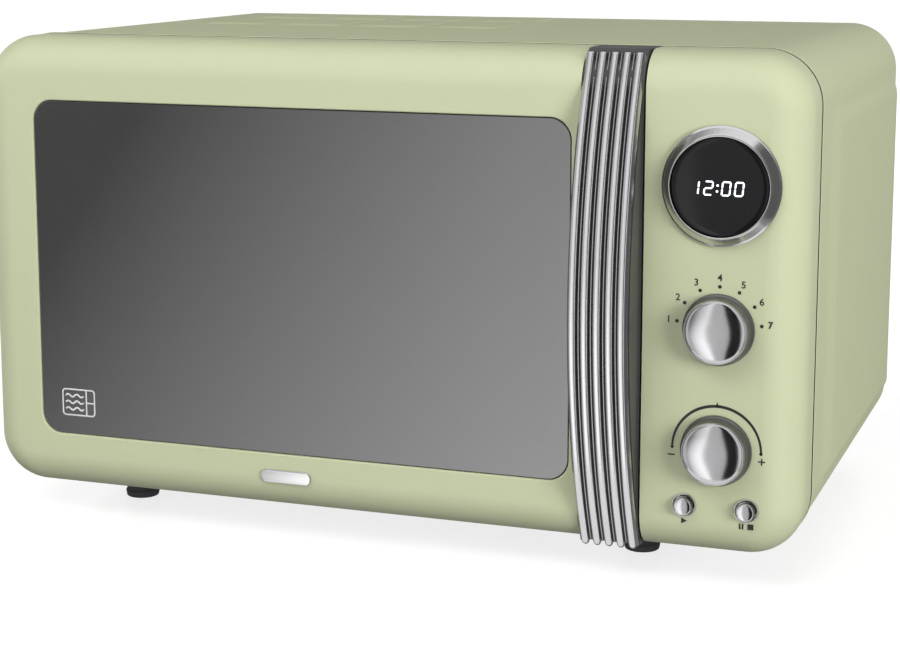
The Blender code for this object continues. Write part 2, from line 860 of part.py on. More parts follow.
def make_door_choke():
    """The steel tray behind the glass, which keeps the microwaves in: a screen with a folded rim."""
    front = FACE_Y + GLASS_RECESS + GLASS_THICK + GAP
    rear = DOOR_REAR_Y - 0.0035
    left, right = HINGE_X + 0.010, FRAME_RIGHT - WALL - GAP
    bottom, top = 0.030, 0.245
    tray = slab("door_choke", (left, front, bottom), (right, rear, top), "painted_steel", 0.006, segments=3)
    hollow = block(
        "choke_hollow",
        (left + SHEET, front + SHEET, bottom + SHEET),
        (right - SHEET, rear + WALL, top - SHEET),
    )
    cut(tray, hollow)
    return tray


def make_door_inner_parts():
    """The clear sheet over the screen, and the moulded ring that covers the choke's channel."""
    sheet_y = FACE_Y + GLASS_RECESS + GLASS_THICK + 2 * GAP + SHEET
    sheet = block(
        "door_inner_sheet",
        (-0.185, sheet_y, 0.048),
        (0.104, sheet_y + SHEET, 0.227),
        "clear_glass",
    )
    ring = slab(
        "choke_cover",
        (HINGE_X + 0.008, DOOR_REAR_Y - 0.0030, 0.026),
        (DOOR_RIGHT - WALL - GAP, DOOR_REAR_Y, 0.248),
        "dark_plastic",
        0.010,
        segments=4,
    )
    opening = slab(
        "choke_cover_opening",
        (-0.180, DOOR_REAR_Y - 0.02, 0.052),
        (0.098, DOOR_REAR_Y + 0.02, 0.223),
        None,
        0.008,
        segments=4,
    )
    cut(ring, opening)
    for index, height in enumerate(LATCH_HOOKS):
        slot = block(
            f"cover_latch_slot_{index}",
            (LATCH_X - 0.004, DOOR_REAR_Y - 0.02, height - 0.012),
            (LATCH_X + 0.004, DOOR_REAR_Y + 0.02, height + 0.012),
        )
        cut(ring, slot)
    return [sheet, ring]


def bow_radius():
    """The radius of the handle's front in side view, from its height and its bow."""
    half = (HANDLE_TOP - HANDLE_BOTTOM) / 2
    return (half * half + HANDLE_BOW * HANDLE_BOW) / (2 * HANDLE_BOW)


def bow_cylinder(name, radius, x_low, x_high):
    """A cylinder across the oven, concentric with the handle's bowed front."""
    middle = ((x_low + x_high) / 2, -DEPTH / 2 + bow_radius(), (HANDLE_TOP + HANDLE_BOTTOM) / 2)
    return rod(name, middle, radius, x_high - x_low, (1, 0, 0), sides=128)


def make_handle_grip():
    """The dark column at the door's free edge: its front bows out, and the fingers reach behind it from the left."""
    left = FRAME_RIGHT + GAP
    over = 0.001
    grip = block(
        "handle_grip",
        (left, -DEPTH / 2, FACE_BOTTOM + GAP),
        (DOOR_RIGHT, DOOR_REAR_Y - FACE_EDGE / 2, FACE_TOP - GAP),
        "dark_plastic",
    )
    bow = bow_cylinder("grip_bow", bow_radius() - TRIM_THICK - GAP, left - over, DOOR_RIGHT + over)
    boolean(grip, bow, "INTERSECT")
    column = make_face_part("grip_column", None, left, DOOR_RIGHT)
    join(grip, column)
    scoop = slab(
        "finger_scoop",
        (left - over, FACE_Y - SCOOP_DEPTH, SCOOP_Z[0]),
        (DOOR_RIGHT - SCOOP_WALL, FACE_Y - GAP, SCOOP_Z[1]),
        None,
        SCOOP_CORNER,
        segments=3,
    )
    cut(grip, scoop, make_face_hollow("grip_hollow", left + WALL, DOOR_RIGHT - WALL))
    cut(grip, make_cover_recess("grip_recess"))
    return grip


def make_handle_trim():
    """The bright strip that covers the bow, with grooves between its ridges."""
    left = FRAME_RIGHT
    right = left + HANDLE_WIDTH
    radius = bow_radius()
    over = 0.001
    trim = block(
        "handle_trim", (left, -DEPTH / 2, HANDLE_BOTTOM), (right, FACE_Y + FACE_EDGE, HANDLE_TOP), "chrome"
    )
    boolean(trim, bow_cylinder("trim_outside", radius, left - over, right + over), "INTERSECT")
    inside = bow_cylinder("trim_inside", radius - TRIM_THICK, left - 2 * over, right + 2 * over)
    cut(trim, inside)
    groove_half, groove_depth = 0.0006, 0.0014
    for index in range(1, RIDGES):
        x = left + HANDLE_WIDTH * index / RIDGES
        ring = bow_cylinder(f"groove_{index}", radius + over, x - groove_half, x + groove_half)
        core = bow_cylinder(
            f"groove_core_{index}", radius - groove_depth, x - 2 * groove_half, x + 2 * groove_half
        )
        cut(ring, core)
        cut(trim, ring)
    door_shape = make_face_slab("door_shape", None)
    door_shape.data.transform(Matrix.Translation((0, -GAP, 0)))
    cut(trim, door_shape)
    return trim


def make_badge():
    """A plain lozenge plate under the window."""
    return slab(
        "badge",
        (-0.0580, FACE_Y - 0.0012, 0.0315),
        (-0.0300, FACE_Y - GAP, 0.0385),
        "chrome",
        0.0034,
        segments=4,
    )


def make_door_latch():
    """The sprung plate inside the door's free edge, with two hooks that reach through the front frame."""
    half = 0.0012
    front, rear = FACE_Y + 0.0095, FACE_Y + 0.0195
    low, high = LATCH_HOOKS[0] - 0.016, LATCH_HOOKS[1] + 0.016
    plate = block("door_latch", (LATCH_X - half, front, low), (LATCH_X + half, rear, high), "white_plastic")
    for index, height in enumerate(LATCH_HOOKS):
        arm = block(
            f"hook_arm_{index}",
            (LATCH_X - half, rear - 0.002, height - 0.004),
            (LATCH_X + half, SEAM_Y + 0.020, height + 0.002),
        )
        barb = block(
            f"hook_barb_{index}",
            (LATCH_X - half, SEAM_Y + 0.013, height - 0.0075),
            (LATCH_X + half, SEAM_Y + 0.020, height - 0.002),
        )
        join(plate, arm, barb)
    hang_on("latch_slide", (LATCH_X, (front + rear) / 2, low), plate)


def make_latch_spring():
    """A coil spring that pushes the latch plate down from above."""
    turns, wire, radius = 5, 0.0005, 0.0026
    low = LATCH_HOOKS[1] + 0.016 + GAP + wire
    length = 0.020
    steps = 8
    curve = bpy.data.curves.new("latch_spring", "CURVE")
    curve.dimensions = "3D"
    curve.bevel_depth = wire
    curve.bevel_resolution = 0
    curve.use_fill_caps = True
    spline = curve.splines.new("POLY")
    spline.points.add(turns * steps)
    for index, point in enumerate(spline.points):
        angle = tau * index / steps
        height = length * index / (turns * steps)
        point.co = (radius * cos(angle), radius * sin(angle), height, 1.0)
    spring = bpy.data.objects.new("latch_spring", curve)
    spring.location = (LATCH_X, FACE_Y + 0.0145, low)
    PARTS.objects.link(spring)
    curve.materials.append(material("steel"))
    return spring


def make_door():
    pieces = [make_door_frame(), make_door_glass(), make_door_choke(), make_badge()]
    pieces += make_door_inner_parts() + [make_handle_grip(), make_handle_trim()] + make_hinges()
    hang_on("door_hinge_axis", (HINGE_X, HINGE_Y, 0.0), *pieces)
    make_door_latch()
    make_latch_spring()


def make_latch_board():
    """The moulded bracket behind the front frame that the hooks reach into, with its two switches."""
    low, high = LATCH_HOOKS[0] - 0.022, LATCH_HOOKS[1] + 0.022
    start = CASE_Y
    board = block(
        "latch_board",
        (LATCH_X + 0.0075, start, low),
        (LATCH_X + 0.0100, start + 0.045, high),
        "white_plastic",
    )
    for index, height in enumerate(LATCH_HOOKS):
        shelf = block(
            f"latch_shelf_{index}",
            (LATCH_X - 0.006, start, height - 0.0165),
            (LATCH_X + 0.009, start + 0.030, height - 0.0135),
        )
        join(board, shelf)
    for place, height in zip(("lower", "upper"), LATCH_HOOKS):
        block(
            f"{place}_interlock_switch",
            (LATCH_X - 0.004, start + 0.024, height - 0.0130),
            (LATCH_X + 0.0070, start + 0.044, height + 0.0150),
            "dark_plastic",
            0.0006,
        )


def make_turntable_motor():
    """The synchronous gear motor under the cavity's floor."""
    top = CAVITY_FLOOR - SHEET - GAP
    low = BAY_FLOOR + 0.001
    can = [(0.0, top), (0.0235, top), (0.0245, top - 0.001), (0.0245, low), (0.0, low)]
    motor = turned("turntable_motor", can, (TABLE_X, TABLE_Y, 0.0), look="galvanised", steps=28)
    ears = block(
        "motor_ears",
        (TABLE_X - 0.034, TABLE_Y - 0.006, top - 0.0012),
        (TABLE_X + 0.034, TABLE_Y + 0.006, top - 0.0002),
    )
    join(motor, ears)


def make_turntable():
    """The glass tray with its raised rim, and the hub under it that the motor turns."""
    centre = (TABLE_X, TABLE_Y, 0.0)
    low, high = TRAY_Z, TRAY_Z + TRAY_THICK
    tray_profile = [
        (0.0, high),
        (TRAY_RADIUS - 0.016, high),
        (TRAY_RADIUS - 0.006, high + 0.002),
        (TRAY_RADIUS - 0.0025, low + TRAY_RIM),
        (TRAY_RADIUS, low + TRAY_RIM),
        (TRAY_RADIUS - 0.004, low + 0.002),
        (TRAY_RADIUS - 0.014, low),
        (0.0, low),
    ]
    tray = turned("glass_turntable", tray_profile, centre, look="clear_glass", steps=36)
    hub_top = low - GAP
    hub_low = CAVITY_FLOOR + 0.0006
    shaft_low = CAVITY_FLOOR - SHEET - GAP / 2
    hub_profile = [
        (0.0, hub_top),
        (0.009, hub_top),
        (0.012, hub_low + 0.003),
        (0.012, hub_low),
        (0.004, hub_low),
        (0.004, shaft_low),
        (0.0, shaft_low),
    ]
    hub = turned("turntable_coupler", hub_profile, centre, look="white_plastic", steps=24)
    for index in range(ROLLERS):
        angle = tau * index / ROLLERS + tau / 12
        lobe = block(
            f"hub_lobe_{index}",
            (0.006, -0.0022, hub_low + 0.004),
            (0.021, 0.0022, hub_top - 0.001),
        )
        lobe.matrix_world = Matrix.Translation(centre) @ Matrix.Rotation(angle, 4, "Z")
        join(hub, lobe)
    hang_on("turntable_axis", centre, tray, hub)


def make_roller_ring():
    """The ring that carries three small wheels between the cavity's floor and the tray."""
    centre = Vector((TABLE_X, TABLE_Y, ROLLER_Z))
    half_width, half_height = 0.004, 0.0025
    inner = ROLLER_PATH - 0.0115
    profile = [
        (inner, half_height),
        (inner + 2 * half_width, half_height),
        (inner + 2 * half_width, -half_height),
        (inner, -half_height),
    ]
    ring = turned("roller_ring", profile, centre, look="white_plastic", steps=36, closed=True)
    wheels = []
    for index in range(ROLLERS):
        angle = tau * index / ROLLERS + tau / 12
        outward = Vector((cos(angle), sin(angle), 0.0))
        axle = rod(
            f"roller_axle_{index}",
            centre + outward * (ROLLER_PATH + 0.0005),
            0.0016,
            0.0140,
            outward,
            sides=16,
        )
        join(ring, axle)
        wheels.append(make_roller(f"roller_{index + 1}", centre, outward))
    hang_on("roller_ring_axis", centre, ring)
    return wheels


def make_roller(name, centre, outward):
    half = 0.0030
    bore = 0.0016 + GAP / 2
    profile = [
        (bore, half),
        (ROLLER_RADIUS - 0.0005, half),
        (ROLLER_RADIUS, half - 0.0006),
        (ROLLER_RADIUS, -half + 0.0006),
        (ROLLER_RADIUS - 0.0005, -half),
        (bore, -half),
    ]
    place = centre + outward * (ROLLER_PATH + 0.0014)
    return turned(name, profile, place, outward, "white_plastic", 16, True)


def make_waveguide():
    """The steel duct that leads from the magnetron to the feed hole, with the sheet that covers that hole."""
    duct = block("waveguide", WAVEGUIDE_LOW, WAVEGUIDE_HIGH, "galvanised")
    wall = Vector((SHEET, SHEET, SHEET))
    hollow = block(
        "waveguide_hollow",
        WAVEGUIDE_LOW + wall - Vector((0.01, 0, 0)),
        WAVEGUIDE_HIGH - wall,
    )
    port = rod("antenna_port", (WAVEGUIDE_HIGH.x, 0.018, 0.193), 0.012, 0.01, (1, 0, 0))
    cut(duct, hollow, port)
    block(
        "waveguide_cover",
        (CAVITY_RIGHT - GAP - 0.0008, WAVEGUIDE_LOW.y + 0.004, WAVEGUIDE_LOW.z + 0.004),
        (CAVITY_RIGHT - GAP, WAVEGUIDE_HIGH.y - 0.004, WAVEGUIDE_HIGH.z - 0.004),
        "mica",
    )


def make_magnetron():
    """Cooling fins in a steel yoke, the filter box behind it, and the antenna in the waveguide's port."""
    left = WAVEGUIDE_HIGH.x + GAP
    yoke = block("magnetron", (left, -0.022, 0.165), (left + 0.052, 0.058, 0.222), "galvanised")
    window = block("yoke_window", (left + 0.008, -0.05, 0.173), (left + 0.044, 0.09, 0.214))
    cut(yoke, window)
    for index in range(4):
        x = left + 0.0120 + 0.009 * index
        fin = block(f"fin_{index}", (x, -0.018, 0.170), (x + 0.0008, 0.054, 0.217))
        join(yoke, fin)
    anode = rod("anode", (left + 0.026, 0.018, 0.193), 0.019, 0.046, (1, 0, 0), sides=28)
    antenna = rod("antenna", (left - 0.006, 0.018, 0.193), 0.0070, 0.026, (1, 0, 0), sides=20)
    filter_box = block("filter_box", (left + 0.051, -0.010, 0.172), (left + 0.068, 0.046, 0.215))
    join(yoke, anode, antenna, filter_box)


def make_transformer():
    """A laminated core on its foot plate, with its windings standing out at both ends."""
    core = block("high_voltage_transformer", (0.128, -0.050, 0.030), (0.204, -0.001, 0.098), "steel", 0.001)
    foot = block("transformer_foot", (0.122, -0.058, BAY_FLOOR), (0.1965, 0.007, 0.031))
    coil = block("windings", (0.141, -0.0635, 0.043), (0.191, 0.0125, 0.085), bevel=0.006)
    join(core, foot, coil)


def make_capacitor_and_filter():
    """The oval high-voltage capacitor on the bay's floor, and the noise filter board over the fan."""
    slab("high_voltage_capacitor", (0.126, 0.016, BAY_FLOOR), (0.176, 0.096, 0.052), "galvanised", 0.014)
    board = block("filter_board", (0.140, 0.086, 0.226), (0.205, 0.130, 0.2276), "board")
    core = rod("filter_core", (0.160, 0.108, 0.2366), 0.010, 0.020, sides=20)
    box = block("filter_box_capacitor", (0.180, 0.098, 0.227), (0.196, 0.118, 0.240))
    join(board, core, box)


def make_fan():
    """The motor, the moulded duct around the blades and the turning blades."""
    centre = Vector((FAN_X, FAN_Y, FAN_Z))
    half = 0.008
    duct = block(
        "fan_duct",
        (FAN_X - 0.050, FAN_Y - half, FAN_Z - 0.050),
        (FAN_X + 0.050, FAN_Y + half, FAN_Z + 0.050),
        "dark_plastic",
    )
    throat = rod("duct_throat", centre, FAN_RADIUS + 0.002, 0.05, (0, 1, 0), sides=48)
    cut(duct, throat)
    blades = turned(
        "fan_blade",
        [(0.0, half), (0.010, half), (0.011, half - 0.001), (0.011, -half), (0.0, -half)],
        centre,
        (0, 1, 0),
        "white_plastic",
        24,
    )
    count = 5
    for index in range(count):
        vane = block(f"vane_{index}", (0.007, -0.012, -0.0006), (FAN_RADIUS, 0.012, 0.0006))
        spin = Matrix.Rotation(tau * index / count, 4, "Z")
        pitch = Matrix.Rotation(radians(28), 4, "X")
        vane.matrix_world = Matrix.Translation(centre) @ turn_to((0, 1, 0)) @ spin @ pitch
        join(blades, vane)
    hang_on("fan_axis", centre, blades)
    motor_front = FAN_Y - half - 0.026
    motor = block(
        "fan_motor",
        (FAN_X - 0.022, motor_front, FAN_Z - 0.024),
        (FAN_X + 0.022, motor_front + 0.020, FAN_Z + 0.024),
        "steel",
        0.002,
    )
    struts = block(
        "motor_struts",
        (FAN_X - 0.049, motor_front + 0.018, FAN_Z - 0.003),
        (FAN_X + 0.049, motor_front + 0.0255, FAN_Z + 0.003),
    )
    relief = block(
        "strut_relief",
        (FAN_X - 0.040, motor_front + 0.0201, FAN_Z - 0.01),
        (FAN_X + 0.040, motor_front + 0.030, FAN_Z + 0.01),
    )
    cut(struts, relief)
    join(motor, struts)


def make_oven_lamp():
    lamp = block("oven_lamp", (BAY_LEFT, -0.084, 0.204), (BAY_LEFT + 0.004, -0.056, 0.226), "white_plastic")
    bulb = rod("bulb", (BAY_LEFT + 0.014, -0.070, 0.215), 0.009, 0.022, (1, 0, 0), sides=16)
    join(lamp, bulb)


make_outer_cover()
make_base_plate()
make_back_panel()
make_front_frame()
make_cavity()
make_feet()
make_rear_spacers()
make_cord_gland()
make_control_panel()
make_display()
make_control_board()
make_encoder("selector_encoder", SELECTOR_Z)
make_encoder("timer_encoder", TIMER_Z)
make_selector_knob()
make_timer_knob()
make_button("start", CONTROL_X - BUTTON_SPREAD)
make_button("stop", CONTROL_X + BUTTON_SPREAD)
make_door()
make_latch_board()
make_turntable_motor()
make_turntable()
make_roller_ring()
make_waveguide()
make_magnetron()
make_transformer()
make_capacitor_and_filter()
make_fan()
make_oven_lamp()
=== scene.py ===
"""The looks of the microwave oven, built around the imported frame.

Every measure is in metres in the frame's own axes: +X is the oven's right, +Y its back and +Z up. Detailed
pieces replace the frame's outside parts. The parts inside the case keep their shape and get better materials.
"""

from math import asin, cos, hypot, pi, radians, sin, tau

import bmesh
import bpy
from mathutils import Matrix, Vector


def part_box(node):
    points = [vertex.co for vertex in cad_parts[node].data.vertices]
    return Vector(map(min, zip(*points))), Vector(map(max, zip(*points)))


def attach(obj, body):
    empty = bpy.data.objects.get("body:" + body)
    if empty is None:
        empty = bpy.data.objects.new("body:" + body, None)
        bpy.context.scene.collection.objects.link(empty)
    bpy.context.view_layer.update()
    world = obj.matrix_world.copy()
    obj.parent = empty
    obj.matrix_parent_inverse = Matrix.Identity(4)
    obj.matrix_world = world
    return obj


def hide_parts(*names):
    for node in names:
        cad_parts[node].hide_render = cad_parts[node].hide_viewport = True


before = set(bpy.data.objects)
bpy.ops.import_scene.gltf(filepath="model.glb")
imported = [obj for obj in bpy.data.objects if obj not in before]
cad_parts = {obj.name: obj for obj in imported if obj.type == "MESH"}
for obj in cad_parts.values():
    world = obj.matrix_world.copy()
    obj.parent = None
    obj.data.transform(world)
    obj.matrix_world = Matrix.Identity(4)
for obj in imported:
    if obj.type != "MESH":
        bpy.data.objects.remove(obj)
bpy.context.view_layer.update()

# ---------------------------------------------------------------- places taken from the frame
DOOR_LOW, DOOR_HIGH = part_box("door_frame")
PANEL_LOW, PANEL_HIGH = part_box("control_panel")
GLASS_LOW, GLASS_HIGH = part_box("door_glass")
GRIP_LOW, GRIP_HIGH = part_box("handle_grip")
TRIM_LOW, TRIM_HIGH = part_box("handle_trim")
BADGE_LOW, BADGE_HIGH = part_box("badge")
COVER_LOW, COVER_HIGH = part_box("outer_cover")
BACK_LOW, BACK_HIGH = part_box("back_panel")
BASE_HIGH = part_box("base_plate")[1]
RING_LOW, RING_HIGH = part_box("display_bezel")
LENS_LOW, LENS_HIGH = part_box("display_window")
RIM_LOW, RIM_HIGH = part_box("choke_cover")

FACE_Y = DOOR_LOW.y
FACE_LEFT, FACE_RIGHT = DOOR_LOW.x, PANEL_HIGH.x
FACE_BOTTOM, FACE_TOP = DOOR_LOW.z, DOOR_HIGH.z
DOOR_REAR = DOOR_HIGH.y

# ---------------------------------------------------------------- shapes the boxes don't say
# GAP is the room between two pieces, SOFT the rounding of an edge, HAIR the least corner, and CLEAR how far
# a cutter stands past what it cuts.
FACE_CORNER, FACE_FILLET = 0.027, 0.019
WALL = 0.0025
GAP = 0.0003
SOFT = 0.0004
HAIR = 0.0002
CLEAR = 0.01
WINDOW_CORNER, WINDOW_ROUND = 0.011, 0.0008
TRIM_THICK = 0.004
CASE_CORNER = CASE_FOLD = 0.0268
LUG_HALF_THICK = 0.001
SIDE_PRESS, TOP_PRESS = 0.002, 0.001
SHEET = 0.0009


# ================================================================ meshes
def add_object(name, data):
    """A new object in the scene."""
    obj = bpy.data.objects.new(name, data)
    bpy.context.scene.collection.objects.link(obj)
    return obj


def new_object(name, bm):
    """The bmesh as an object with outward normals."""
    bmesh.ops.recalc_face_normals(bm, faces=bm.faces)
    mesh = bpy.data.meshes.new(name)
    bm.to_mesh(mesh)
    bm.free()
    return add_object(name, mesh)


def final_mesh(obj):
    """A mesh of the object as its modifiers or curve settings make it."""
    bpy.context.view_layer.update()
    return bpy.data.meshes.new_from_object(obj.evaluated_get(bpy.context.evaluated_depsgraph_get()))


def mesh_of_curve(name, curve):
    holder = add_object(name, curve)
    mesh = final_mesh(holder)
    bpy.data.objects.remove(holder)
    return add_object(name, mesh)


def loft(name, rings, caps=(True, True), closed=True):
    """A skin over rings of equal length, each a loop, with a face over each end that caps asks for."""
    bm = bmesh.new()
    loops = [[bm.verts.new(point) for point in ring] for ring in rings]
    count = len(rings[0])
    last = count if closed else count - 1
    for near, far in zip(loops, loops[1:]):
        for i in range(last):
            j = (i + 1) % count
            bm.faces.new((near[i], near[j], far[j], far[i]))
    if caps[0]:
        bm.faces.new(loops[0])
    if caps[1]:
        bm.faces.new(list(reversed(loops[-1])))
    return new_object(name, bm)


def rounded_outline(left, right, low, high, radius, steps=12):
    """(a, b) points of a rounded rectangle, anticlockwise."""
    points = []
    corners = ((right, high, 0), (left, high, 1), (left, low, 2), (right, low, 3))
    for corner_a, corner_b, quarter in corners:
        centre_a = corner_a - radius if corner_a == right else corner_a + radius
        centre_b = corner_b - radius if corner_b == high else corner_b + radius
        for i in range(steps + 1):
            angle = (quarter + i / steps) * pi / 2
            points.append((centre_a + radius * cos(angle), centre_b + radius * sin(angle)))
    return points


def rectangle(x, z, half_width, half_height):
    """(x, z) corners of a rectangle round a middle."""
    left, right, low, high = x - half_width, x + half_width, z - half_height, z + half_height
    return [(left, low), (right, low), (right, high), (left, high)]


def circle_points(x, z, radius, sides):
    angles = [tau * i / sides for i in range(sides)]
    return [(x + radius * cos(angle), z + radius * sin(angle)) for angle in angles]


def quarter_turn(rounding, steps):
    """(inset, depth) of the points of a rounded edge, from the face to the side."""
    angles = [i / steps * pi / 2 for i in range(steps + 1)]
    return [(rounding * (1 - sin(angle)), rounding * (1 - cos(angle))) for angle in angles]


def front_slab(name, low, high, corner, front, back=SOFT, front_steps=10, steps=12):
    """A rounded rectangle across X and Z, with its front edge rounded by front and its rear edge by back."""
    rings = [(inset, low.y + depth) for inset, depth in quarter_turn(front, front_steps)]
    rings += [(inset, high.y - depth) for inset, depth in reversed(quarter_turn(back, 2))]
    loops = []
    for inset, y in rings:
        rounding = max(corner - inset, HAIR)
        sides = (low.x + inset, high.x - inset, low.z + inset, high.z - inset)
        loops.append([(a, y, b) for a, b in rounded_outline(*sides, rounding, steps)])
    return loft(name, loops)


def box_solid(name, low, high):
    """A box between two corners."""
    bm = bmesh.new()
    size = Vector(high) - Vector(low)
    middle = (Vector(high) + Vector(low)) / 2
    place = Matrix.Translation(middle) @ Matrix.Diagonal((*size, 1.0))
    bmesh.ops.create_cube(bm, size=1.0, matrix=place)
    return new_object(name, bm)


def slice_between(obj, left, right):
    """Keeps what lies between two planes across X, and closes the cuts."""
    bm = bmesh.new()
    bm.from_mesh(obj.data)
    for x, side in ((left, -1), (right, 1)):
        parts = bm.verts[:] + bm.edges[:] + bm.faces[:]
        place, outward = (x, 0, 0), (side, 0, 0)
        cut = bmesh.ops.bisect_plane(bm, geom=parts, plane_co=place, plane_no=outward, clear_outer=True)
        edges = [part for part in cut["geom_cut"] if isinstance(part, bmesh.types.BMEdge)]
        bmesh.ops.holes_fill(bm, edges=edges, sides=0)
    bmesh.ops.recalc_face_normals(bm, faces=bm.faces)
    bm.to_mesh(obj.data)
    bm.free()
    return obj


def boolean(target, tool, kind):
    """Applies an exact Boolean and removes the tool."""
    step = target.modifiers.new("step", "BOOLEAN")
    step.operation, step.solver, step.object = kind, "EXACT", tool
    result = final_mesh(target)
    target.modifiers.clear()
    target.data = result
    bpy.data.objects.remove(tool)


def carve(target, *tools):
    """Cuts the tools out of the target."""
    for tool in tools:
        boolean(target, tool, "DIFFERENCE")


def merge(name, parts):
    """Several objects as one, in the first one's place."""
    bm = bmesh.new()
    for part in parts:
        mesh = part.data.copy()
        mesh.transform(part.matrix_world)
        bm.from_mesh(mesh)
    for part in parts:
        bpy.data.objects.remove(part)
    return new_object(name, bm)


def axis_turn(axis):
    """The rotation that takes +Z to an axis."""
    return Vector((0, 0, 1)).rotation_difference(Vector(axis)).to_matrix().to_4x4()


def turned(name, profile, centre=(0, 0, 0), axis=(0, -1, 0), sides=96, ring=False):
    """A (radius, height) profile spun round an axis through centre. The object's origin is at centre.

    A ring's profile closes on itself, and any other starts and ends on the axis.
    """
    bm = bmesh.new()
    loops = []
    for radius, height in profile:
        around = circle_points(0, 0, radius, sides if radius else 1)
        loops.append([bm.verts.new((a, b, height)) for a, b in around])
    pairs = list(zip(loops, loops[1:]))
    if ring:
        pairs.append((loops[-1], loops[0]))
    for near, far in pairs:
        for i in range(sides):
            j = (i + 1) % sides
            corners = [near[i % len(near)], near[j % len(near)], far[j % len(far)], far[i % len(far)]]
            bm.faces.new(list(dict.fromkeys(corners)))
    bmesh.ops.transform(bm, matrix=axis_turn(axis), verts=bm.verts)
    obj = new_object(name, bm)
    obj.location = centre
    return obj


def rounded_profile(corners, steps=5):
    """A (radius, height) profile whose corners, given as (radius, height, rounding), get short arcs."""
    most = 0.49
    points = []
    for i, (a, b, rounding) in enumerate(corners):
        if rounding <= 0 or i in (0, len(corners) - 1):
            points.append((a, b))
            continue
        here = Vector((a, b))
        before = Vector(corners[i - 1][:2])
        after = Vector(corners[i + 1][:2])
        reach = min(rounding, (before - here).length * most, (after - here).length * most)
        start = here + (before - here).normalized() * reach
        end = here + (after - here).normalized() * reach
        for k in range(steps + 1):
            t = k / steps
            points.append(tuple((1 - t) ** 2 * start + 2 * t * (1 - t) * here + t * t * end))
    return points


def tube(name, points, radius, closed=False):
    """A round wire along points."""
    curve = bpy.data.curves.new(name, "CURVE")
    curve.dimensions = "3D"
    curve.bevel_depth = radius
    curve.bevel_resolution = 2
    curve.use_fill_caps = True
    spline = curve.splines.new("POLY")
    spline.points.add(len(points) - 1)
    spline.use_cyclic_u = closed
    for place, point in zip(spline.points, points):
        place.co = (*point, 1.0)
    return mesh_of_curve(name, curve)


def plate(name, outline, y_front, y_back):
    """A thin flat shape from an (x, z) outline."""
    return loft(name, [[(a, y, b) for a, b in outline] for y in (y_front, y_back)])


def soften(obj, width, angle):
    """Rounds the edges that are sharper than angle."""
    bevel = obj.modifiers.new("edges", "BEVEL")
    bevel.width, bevel.segments = width, 2
    bevel.limit_method, bevel.angle_limit = "ANGLE", radians(angle)


def smooth(obj, angle, edge=0.0, flat=False):
    """Smooth shading that keeps edges sharper than angle, after an optional small rounding of them.

    flat weighs the normals by face area, so a broad flat face next to a rounded edge stays flat to the eye.
    """
    obj.data.shade_smooth()
    obj.data.set_sharp_from_angle(angle=radians(angle))
    if edge:
        soften(obj, edge, angle)
    if edge or flat:
        even = obj.modifiers.new("even", "WEIGHTED_NORMAL")
        even.keep_sharp = True
        even.weight = 100 if flat else 60


def fit(obj, body, look, *replaced, slot=None):
    """Gives a piece its materials and body, and hides the frame's nodes that it stands for."""
    obj.data.materials.clear()
    for name in look if isinstance(look, tuple) else (look,):
        obj.data.materials.append(LOOK[name])
    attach(obj, body)
    if replaced:
        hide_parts(*replaced)


# ================================================================ materials
def node_maker(look):
    """A function that adds a node with its settings and input values to a material.

    An input is named, or given by its number as in i3. Its value is a socket to link or a plain value.
    """
    tree = look.node_tree

    def add(kind, settings=None, **inputs):
        node = tree.nodes.new(kind)
        for key, value in (settings or {}).items():
            setattr(node, key, value)
        for key, value in inputs.items():
            numbered = key[0] == "i" and key[1:].isdigit()
            socket = node.inputs[int(key[1:]) if numbered else key]
            if isinstance(value, bpy.types.NodeSocket):
                tree.links.new(value, socket)
            else:
                socket.default_value = value
        return node

    return add


def shade(color, factor):
    """A colour made lighter or darker, with its alpha."""
    return tuple(min(1.0, c * factor) for c in color) + (1.0,)


